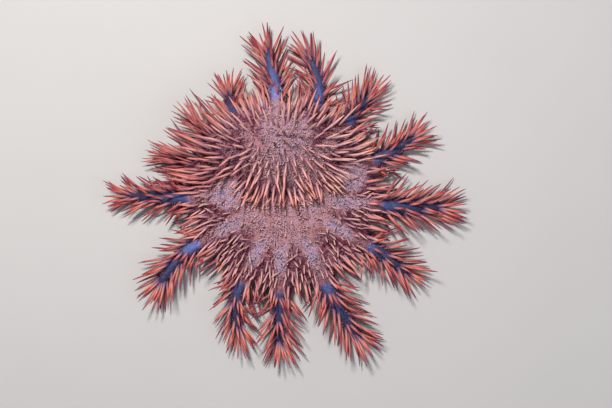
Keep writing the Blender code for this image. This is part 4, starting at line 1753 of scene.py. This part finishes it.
@dataclass
class ArmSpines:
    """The spines of the arms: rows along both sides of the bare blue strip, and a fan at each tip."""

    plan: BodyPlan
    probe: SkinProbe
    # Each row's angle round the section, the gap between its spines, and their length as a share.
    rows: tuple[tuple[float, float, float], ...] = (
        (2, 0.0100, 0.95),
        (22, 0.0106, 1.0),
        (42, 0.0110, 1.0),
        (60, 0.0150, 0.85),
        (78, 0.0255, 0.62),
    )
    covered_rows: tuple[tuple[float, float, float], ...] = ((66, 0.0070, 0.8), (86, 0.0070, 0.8))
    covered_comb: float = 0.45
    covered_paleness: float = 0.25
    # Painted shade on every spine of a covered arm, one whose crest has no bare strip.
    covered_shade: float = 0.12
    glow_band: Span = (50, 130)
    glow_gap: float = 0.5
    spread: float = 5.0
    unevenness: float = 0.12
    first: float = 0.094
    last: float = 0.004
    length: float = 0.0295
    length_spread: Span = (0.74, 1.16)
    girth: float = 0.00106
    # Painted shade on the spines of the lowest rows, which lie nearly flat beside the arm.
    low_shade: float = 0.5
    low_shade_rise: Span = (0.5, 0.0)
    forward: Span = (0.85, 1.6)
    upward_pull: float = 0.12
    stray: float = 0.19
    bow: float = 0.018
    sag: float = 0.012
    fan: int = 8
    fan_angles: Span = (10.0, 170.0)
    fan_spread: float = 4.0
    fan_forward: float = 2.2
    fan_side_shortness: float = 0.2
    fan_inset: float = 0.004
    fan_inset_spread: Span = (0.5, 1.6)

    def row(self, number: int, angle: float, step: float, share: float, random: np.random.Generator) -> Plot:
        """Sets out one row of spines along an arm.

        Args:
            number: The arm's place in the list of arms.
            angle: The row's angle round the section, from the left side over the top.
            step: The distance between its spines.
            share: Their length as a share of a full spine's.
            random: Where their variety comes from.

        Returns:
            The plot of the row.
        """
        arm = ARMS[number]
        low, high = self.glow_band
        step *= 1 + self.glow_gap * arm.glow * (low < angle < high)
        radius = np.arange(self.first + random.uniform(0, step), arm.reach - self.last, step)
        radius = radius + random.normal(scale=step * self.unevenness, size=len(radius))
        turn = np.radians(angle + random.normal(scale=self.spread, size=len(radius)))
        past = np.clip((radius - self.plan.root_radius) / (arm.reach - self.plan.root_radius), 0, 1)
        forward = self.forward[0] + (self.forward[1] - self.forward[0]) * past
        lengths = share * random.uniform(*self.length_spread, len(radius))
        return self.stand(number, radius, turn, forward, lengths, random)

    def tip(self, number: int, random: np.random.Generator) -> Plot:
        """Sets out the fan of spines at an arm's tip.

        Args:
            number: The arm's place in the list of arms.
            random: Where their variety comes from.

        Returns:
            The plot of the fan.
        """
        angles = np.linspace(*self.fan_angles, self.fan)
        turn = np.radians(angles + random.normal(scale=self.fan_spread, size=self.fan))
        radius = ARMS[number].reach - self.fan_inset * random.uniform(*self.fan_inset_spread, self.fan)
        lengths = random.uniform(*self.length_spread, self.fan)
        lengths *= 1 - self.fan_side_shortness * np.abs(np.cos(turn))
        return self.stand(number, radius, turn, np.full(self.fan, self.fan_forward), lengths, random)

    def stand(
        self,
        number: int,
        radius: np.ndarray,
        turn: np.ndarray,
        forward: np.ndarray,
        lengths: np.ndarray,
        random: np.random.Generator,
    ) -> Plot:
        """Stands spines on an arm.

        Args:
            number: The arm's place in the list of arms.
            radius: Distances of their roots from the middle of the disc.
            turn: Their angles round the section in radians.
            forward: How strongly each leans towards the tip.
            lengths: Their lengths as shares of a full spine's on that arm.
            random: Where their variety comes from.

        Returns:
            Their plot.
        """
        arm = ARMS[number]
        guess = self.plan.arm_points(arm, radius, turn, self.plan.tip_scale(arm, radius))
        roots, _ = self.probe.settle(guess)
        _, heading, side = self.plan.middle_at(arm, radius)
        loose = 1 - self.covered_comb * (1 - arm.bare)
        lengths = self.length * arm.girth * arm.plume * lengths
        across, rise = np.cos(turn) * loose, np.sin(turn) * loose + self.upward_pull
        ways = side * across[:, None] + UP * rise[:, None] + heading * forward[:, None]
        ways = unit(ways + random.normal(scale=self.stray * loose, size=roots.shape))
        bows = (sideways(ways, random) * self.bow + UP * self.sag) * lengths[:, None]
        # Painted shade: the lowest rows, and every spine of a covered arm, are darkened.
        shaded = self.low_shade * ramp(np.sin(turn), *self.low_shade_rise)
        return Plot(
            roots=roots,
            ways=ways,
            lengths=lengths,
            girths=self.girth * arm.girth * random.uniform(*GIRTH_SPREAD, len(roots)),
            patches=Unwrap(self.plan).on_arm(number, radius, turn),
            bows=bows,
            on_arm=1 - self.covered_paleness * (1 - arm.bare),
            shaded=np.maximum(shaded, self.covered_shade * (1 - arm.bare)),
        ).trimmed()

    def plot(self, random: np.random.Generator) -> Plot:
        """Sets out the spines of all arms.

        Args:
            random: Where their variety comes from.

        Returns:
            Their plot.
        """
        plots = []
        for number, arm in enumerate(ARMS):
            for angle, step, share in self.rows + (() if arm.bare else self.covered_rows):
                for turn in (angle, 180 - angle):
                    plots.append(self.row(number, turn, step, share, random))
            plots.append(self.tip(number, random))
        return Plot.joined(plots)


@dataclass
class Papulae:
    """The soft gills that stand close together between the spines."""

    plan: BodyPlan
    probe: SkinProbe
    disc_count: int = 6400
    arm_count: int = 280
    length: float = 0.0018
    girth: float = 0.00046
    length_spread: Span = (0.6, 1.4)
    girth_spread: Span = (0.75, 1.3)
    tuft: int = 5
    tuft_size: float = 0.0032
    tuft_reach: float = 0.99
    rim: float = 0.97
    tip_inset: float = 0.003
    crest_half_angle: float = 32.0
    crest_share: float = 0.02
    stray: float = 0.28
    bow: float = 0.12
    # How much painted shade darkens the papulae that stand in the hollows.
    hollow_shade: float = 0.9

    def disc_plot(self, size: float, random: np.random.Generator) -> Plot:
        """Sets out papulae in small tufts over the disc.

        Args:
            size: Their size as a share of a fine one's.
            random: Where their variety comes from.

        Returns:
            Their plot.
        """
        tufts = round(self.disc_count / size**2 / self.tuft)
        bearing = np.repeat(random.uniform(-math.pi, math.pi, tufts), self.tuft)
        share = np.repeat(np.sqrt(random.random(tufts)), self.tuft)
        middles = on_plan(bearing, self.plan.web_edge(bearing) * share * self.tuft_reach)
        across, along, _ = middles.T
        x = across + random.normal(scale=self.tuft_size / 2, size=len(share))
        y = along + random.normal(scale=self.tuft_size / 2, size=len(share))
        inside = np.hypot(x, y) < self.plan.web_radius * self.rim
        roots, normals = self.probe.drop(x[inside], y[inside])
        return self.stand(roots, normals, Unwrap(self.plan).on_disc(roots), size, random)

    def arm_plot(self, random: np.random.Generator) -> Plot:
        """Sets out papulae over the flanks of the arms, and sparsely on their crests.

        Args:
            random: Where their variety comes from.

        Returns:
            Their plot.
        """
        plots = []
        for number, arm in enumerate(ARMS):
            radius = random.uniform(self.plan.web_radius, arm.reach - self.tip_inset, self.arm_count)
            turn = np.radians(random.uniform(0, 180, self.arm_count))
            bare = np.abs(np.degrees(turn) - 90) < self.crest_half_angle
            keep = ~bare | (random.random(self.arm_count) < self.crest_share)
            radius, turn = radius[keep], turn[keep]
            guess = self.plan.arm_points(arm, radius, turn, self.plan.tip_scale(arm, radius))
            roots, normals = self.probe.settle(guess)
            patches = Unwrap(self.plan).on_arm(number, radius, turn)
            plots.append(self.stand(roots, normals, patches, 1.0, random))
        return Plot.joined(plots)

    def stand(
        self,
        roots: np.ndarray,
        normals: np.ndarray,
        patches: np.ndarray,
        size: float,
        random: np.random.Generator,
    ) -> Plot:
        """Stands papulae on the skin.

        Args:
            roots: Their places.
            normals: The skin's normals there.
            patches: Their places on the unwrap.
            size: Their size as a share of a fine one's.
            random: Where their variety comes from.

        Returns:
            Their plot.
        """
        count = len(roots)
        ways = unit(normals + random.normal(scale=self.stray, size=roots.shape))
        lengths = self.length * size * random.uniform(*self.length_spread, count)
        return Plot(
            roots=roots,
            ways=ways,
            lengths=lengths,
            girths=self.girth * size * random.uniform(*self.girth_spread, count),
            patches=patches,
            bows=sideways(ways, random) * lengths[:, None] * self.bow,
            on_arm=self.plan.ridge(roots),
            # Painted shade on the papulae in the hollows.
            shaded=self.plan.hollow(roots) * self.hollow_shade,
        ).trimmed()


@dataclass
class Underside:
    """What lives beneath: two rows of tube feet in each groove, and blunt spines at the mouth."""

    plan: BodyPlan
    probe: SkinProbe
    foot_step: float = 0.0036
    foot_across: float = 0.0017
    foot_girth: float = 0.0009
    foot_length: float = 0.0045
    foot_least_length: float = 0.0008
    foot_splay: float = 1.5
    foot_stray: float = 0.0005
    foot_turn: float = 0.3
    tip_inset: float = 0.006
    mouth_rings: tuple[float, ...] = (0.0125, 0.0150)
    mouth_spines_per_arm: int = 4
    mouth_spine_girth: float = 0.0008
    mouth_spine_length: float = 0.0065
    mouth_length_spread: Span = (0.85, 1.1)
    mouth_inward_pull: float = 0.8
    mouth_downward_pull: float = 0.6
    mouth_stray: float = 0.1
    mouth_bearing_stray: float = 0.03
    mouth_patch: Span = (0.98, 0.9)

    def under(self, points: np.ndarray, height: float) -> np.ndarray:
        """Gives the nearest places on the skin's underside to points of the floor.

        Args:
            points: One row for each point.
            height: How high the flat body's skin lies there.

        Returns:
            The places on the skin.
        """
        guess = points.copy()
        guess[:, 2] = height
        return self.probe.settle(self.plan.lifted(guess, np.full(len(guess), True)))[0]

    def feet_row(self, number: int, across: float, random: np.random.Generator) -> Plot:
        """Sets out one row of tube feet along an arm's groove.

        Args:
            number: The arm's place in the list of arms.
            across: How far to the left of the arm's middle line the row lies.
            random: Where their variety comes from.

        Returns:
            The plot of the row.
        """
        arm = ARMS[number]
        first = self.plan.mouth_edge + random.uniform(0, self.foot_step)
        radius = np.arange(first, arm.reach - self.tip_inset, self.foot_step)
        here, _, side = self.plan.middle_at(arm, radius)
        roots = self.under(here + side * across, self.plan.groove_depth)
        stray = random.normal(scale=self.foot_stray, size=here.shape)
        ends = here + side * (across * self.foot_splay) + stray
        ends[:, 2] = np.maximum(roots[:, 2] - self.foot_length, FLOOR_CLEARANCE)
        run = ends - roots
        angle = np.full(len(radius), math.pi * 1.5 + math.copysign(self.foot_turn, across))
        return Plot(
            roots=roots,
            ways=unit(run),
            lengths=np.maximum(np.linalg.norm(run, axis=1), self.foot_least_length),
            girths=self.foot_girth * random.uniform(*GIRTH_SPREAD, len(roots)),
            patches=Unwrap(self.plan).on_arm(number, radius, angle),
        )

    def feet_plot(self, random: np.random.Generator) -> Plot:
        """Sets out the tube feet of all arms, which reach down to the floor.

        Args:
            random: Where their variety comes from.

        Returns:
            Their plot.
        """
        plots = []
        for number in range(len(ARMS)):
            for across in (-self.foot_across, self.foot_across):
                plots.append(self.feet_row(number, across, random))
        return Plot.joined(plots)

    def mouth_plot(self, random: np.random.Generator) -> Plot:
        """Sets out the blunt spines that close over the mouth.

        Args:
            random: Where their variety comes from.

        Returns:
            Their plot.
        """
        count = len(ARMS) * self.mouth_spines_per_arm
        bearing = np.tile(np.linspace(0, 2 * math.pi, count, endpoint=False), len(self.mouth_rings))
        ring = np.repeat(self.mouth_rings, count)
        bearing = bearing + random.normal(scale=self.mouth_bearing_stray, size=len(bearing))
        roots = self.under(on_plan(bearing, ring), self.plan.underside)
        pull = on_plan(bearing, -self.mouth_inward_pull) - UP * self.mouth_downward_pull
        along, around = self.mouth_patch
        patches = (bearing / (2 * math.pi) % 1 * along, ring / max(self.mouth_rings) * around)
        return Plot(
            roots=roots,
            ways=unit(pull + random.normal(scale=self.mouth_stray, size=roots.shape)),
            lengths=self.mouth_spine_length * random.uniform(*self.mouth_length_spread, len(roots)),
            girths=np.full(len(roots), self.mouth_spine_girth),
            patches=np.stack(patches, axis=1),
        )


@dataclass
class Studio:
    """The plain pale floor, the soft lights and the camera straight over the animal."""

    view_middle: Span = (0.021, -0.007)
    view_width: float = 0.612
    view_level: float = 0.020
    camera_height: float = 1.3
    sensor: float = 36.0
    floor_size: float = 6.0
    world: Colour = (188, 190, 196)
    world_strength: float = 0.38

    def floor(self) -> None:
        """Lays the floor, level with the underside of the animal."""
        floor = start_modelling(bpy.ops.mesh.primitive_plane_add, size=self.floor_size)
        floor.name = "floor"
        floor.data.materials.append(FloorFinish().material())

    def lamp(
        self, name: str, place: tuple[float, float, float], size: float, power: float, colour: Colour
    ) -> None:
        """Hangs a square soft light that faces the animal.

        Args:
            name: Its name.
            place: Where it hangs.
            size: Its width.
            power: Its power in watts.
            colour: Its colour as it is seen.
        """
        data = bpy.data.lights.new(name, "AREA")
        data.size = size
        data.energy = power
        data.color = linear(colour)[:3]
        lamp = bpy.data.objects.new(name, data)
        lamp.location = place
        lamp.rotation_euler = (-Vector(place)).to_track_quat("-Z", "Y").to_euler()
        bpy.context.collection.objects.link(lamp)

    def build(self) -> None:
        """Lays the floor, hangs the lights and places the camera."""
        self.floor()
        self.lamp("key", place=(-0.30, 0.60, 1.25), size=0.20, power=24.0, colour=(255, 250, 248))
        self.lamp("fill", place=(0.9, -0.5, 1.1), size=0.9, power=5.0, colour=(240, 242, 255))
        world = bpy.data.worlds.new("studio")
        world.use_nodes = True
        background = world.node_tree.nodes["Background"]
        background.inputs["Color"].default_value = linear(self.world)
        background.inputs["Strength"].default_value = self.world_strength
        bpy.context.scene.world = world
        data = bpy.data.cameras.new("camera")
        data.sensor_width = self.sensor
        data.lens = self.sensor * (self.camera_height - self.view_level) / self.view_width
        camera = bpy.data.objects.new("camera", data)
        camera.location = (*self.view_middle, self.camera_height)
        bpy.context.collection.objects.link(camera)
        bpy.context.scene.camera = camera
        bpy.context.scene.view_settings.view_transform = "Standard"


SPINE = Form(
    "spine",
    sides=7,
    profile=(
        (-0.10, 1.60),
        (0.02, 1.48),
        (0.13, 1.22),
        (0.34, 1.08),
        (0.62, 0.84),
        (0.82, 0.56),
        (0.94, 0.29),
        (1.00, 0.05),
    ),
)
PAPULA = Form("papula", sides=5, profile=((-0.15, 1.0), (0.45, 1.05), (0.85, 0.75), (1.0, 0.3)))
TUBE_FOOT = Form(
    "tube_foot", sides=6, profile=((-0.1, 0.7), (0.6, 0.62), (0.78, 0.66), (0.86, 1.0), (1.0, 0.9))
)
BLUNT_SPINE = Form("blunt_spine", sides=6, profile=((-0.1, 1.1), (0.3, 1.0), (0.75, 0.8), (1.0, 0.35)))


def main() -> None:
    """Builds the skin, its coat and the studio."""
    logging.basicConfig(level=logging.INFO, format="%(message)s")
    random = np.random.default_rng(SEED)
    plan = BodyPlan()
    skin = Skin(plan).build()
    probe = SkinProbe(skin)
    arm_nodes = [arm.name for arm in ARMS]

    spine = SpineFinish().material()
    disc_spines = Coat("disc_spines", SPINE, Slot.SPINE, [DISC_NODE])
    over_disc = DiscSpines(plan, probe)
    disc_spines.build(Plot.joined((over_disc.plot(random), over_disc.rim_plot(random))), spine, random)
    arm_spines = Coat("arm_spines", SPINE, Slot.SPINE, arm_nodes)
    arm_spines.build(ArmSpines(plan, probe).plot(random), spine, random)

    papula = SoftFinish("papula", root=(150, 106, 118), end=(204, 164, 166), dark=(104, 44, 66)).material()
    papulae = Papulae(plan, probe)
    for name, size in (("disc_papulae_fine", 1.0), ("disc_papulae_coarse", 1.55)):
        Coat(name, PAPULA, Slot.PAPULA, [DISC_NODE]).build(papulae.disc_plot(size, random), papula, random)
    Coat("arm_papulae", PAPULA, Slot.PAPULA, arm_nodes).build(papulae.arm_plot(random), papula, random)

    beneath = Underside(plan, probe)
    foot = SoftFinish("tube_foot", root=(200, 168, 128), end=(226, 206, 168), dark=(180, 140, 104)).material()
    feet = Coat("tube_feet", TUBE_FOOT, Slot.TUBE_FOOT, [DISC_NODE, *arm_nodes])
    feet.build(beneath.feet_plot(random), foot, random)
    finish = SoftFinish("blunt_spine", root=(188, 140, 122), end=(214, 172, 150), dark=(150, 96, 92))
    mouth = Coat("mouth_spines", BLUNT_SPINE, Slot.SPINE, [DISC_NODE])
    mouth.build(beneath.mouth_plot(random), finish.material(), random)

    Studio().build()


if __name__ == "__main__":
    main()
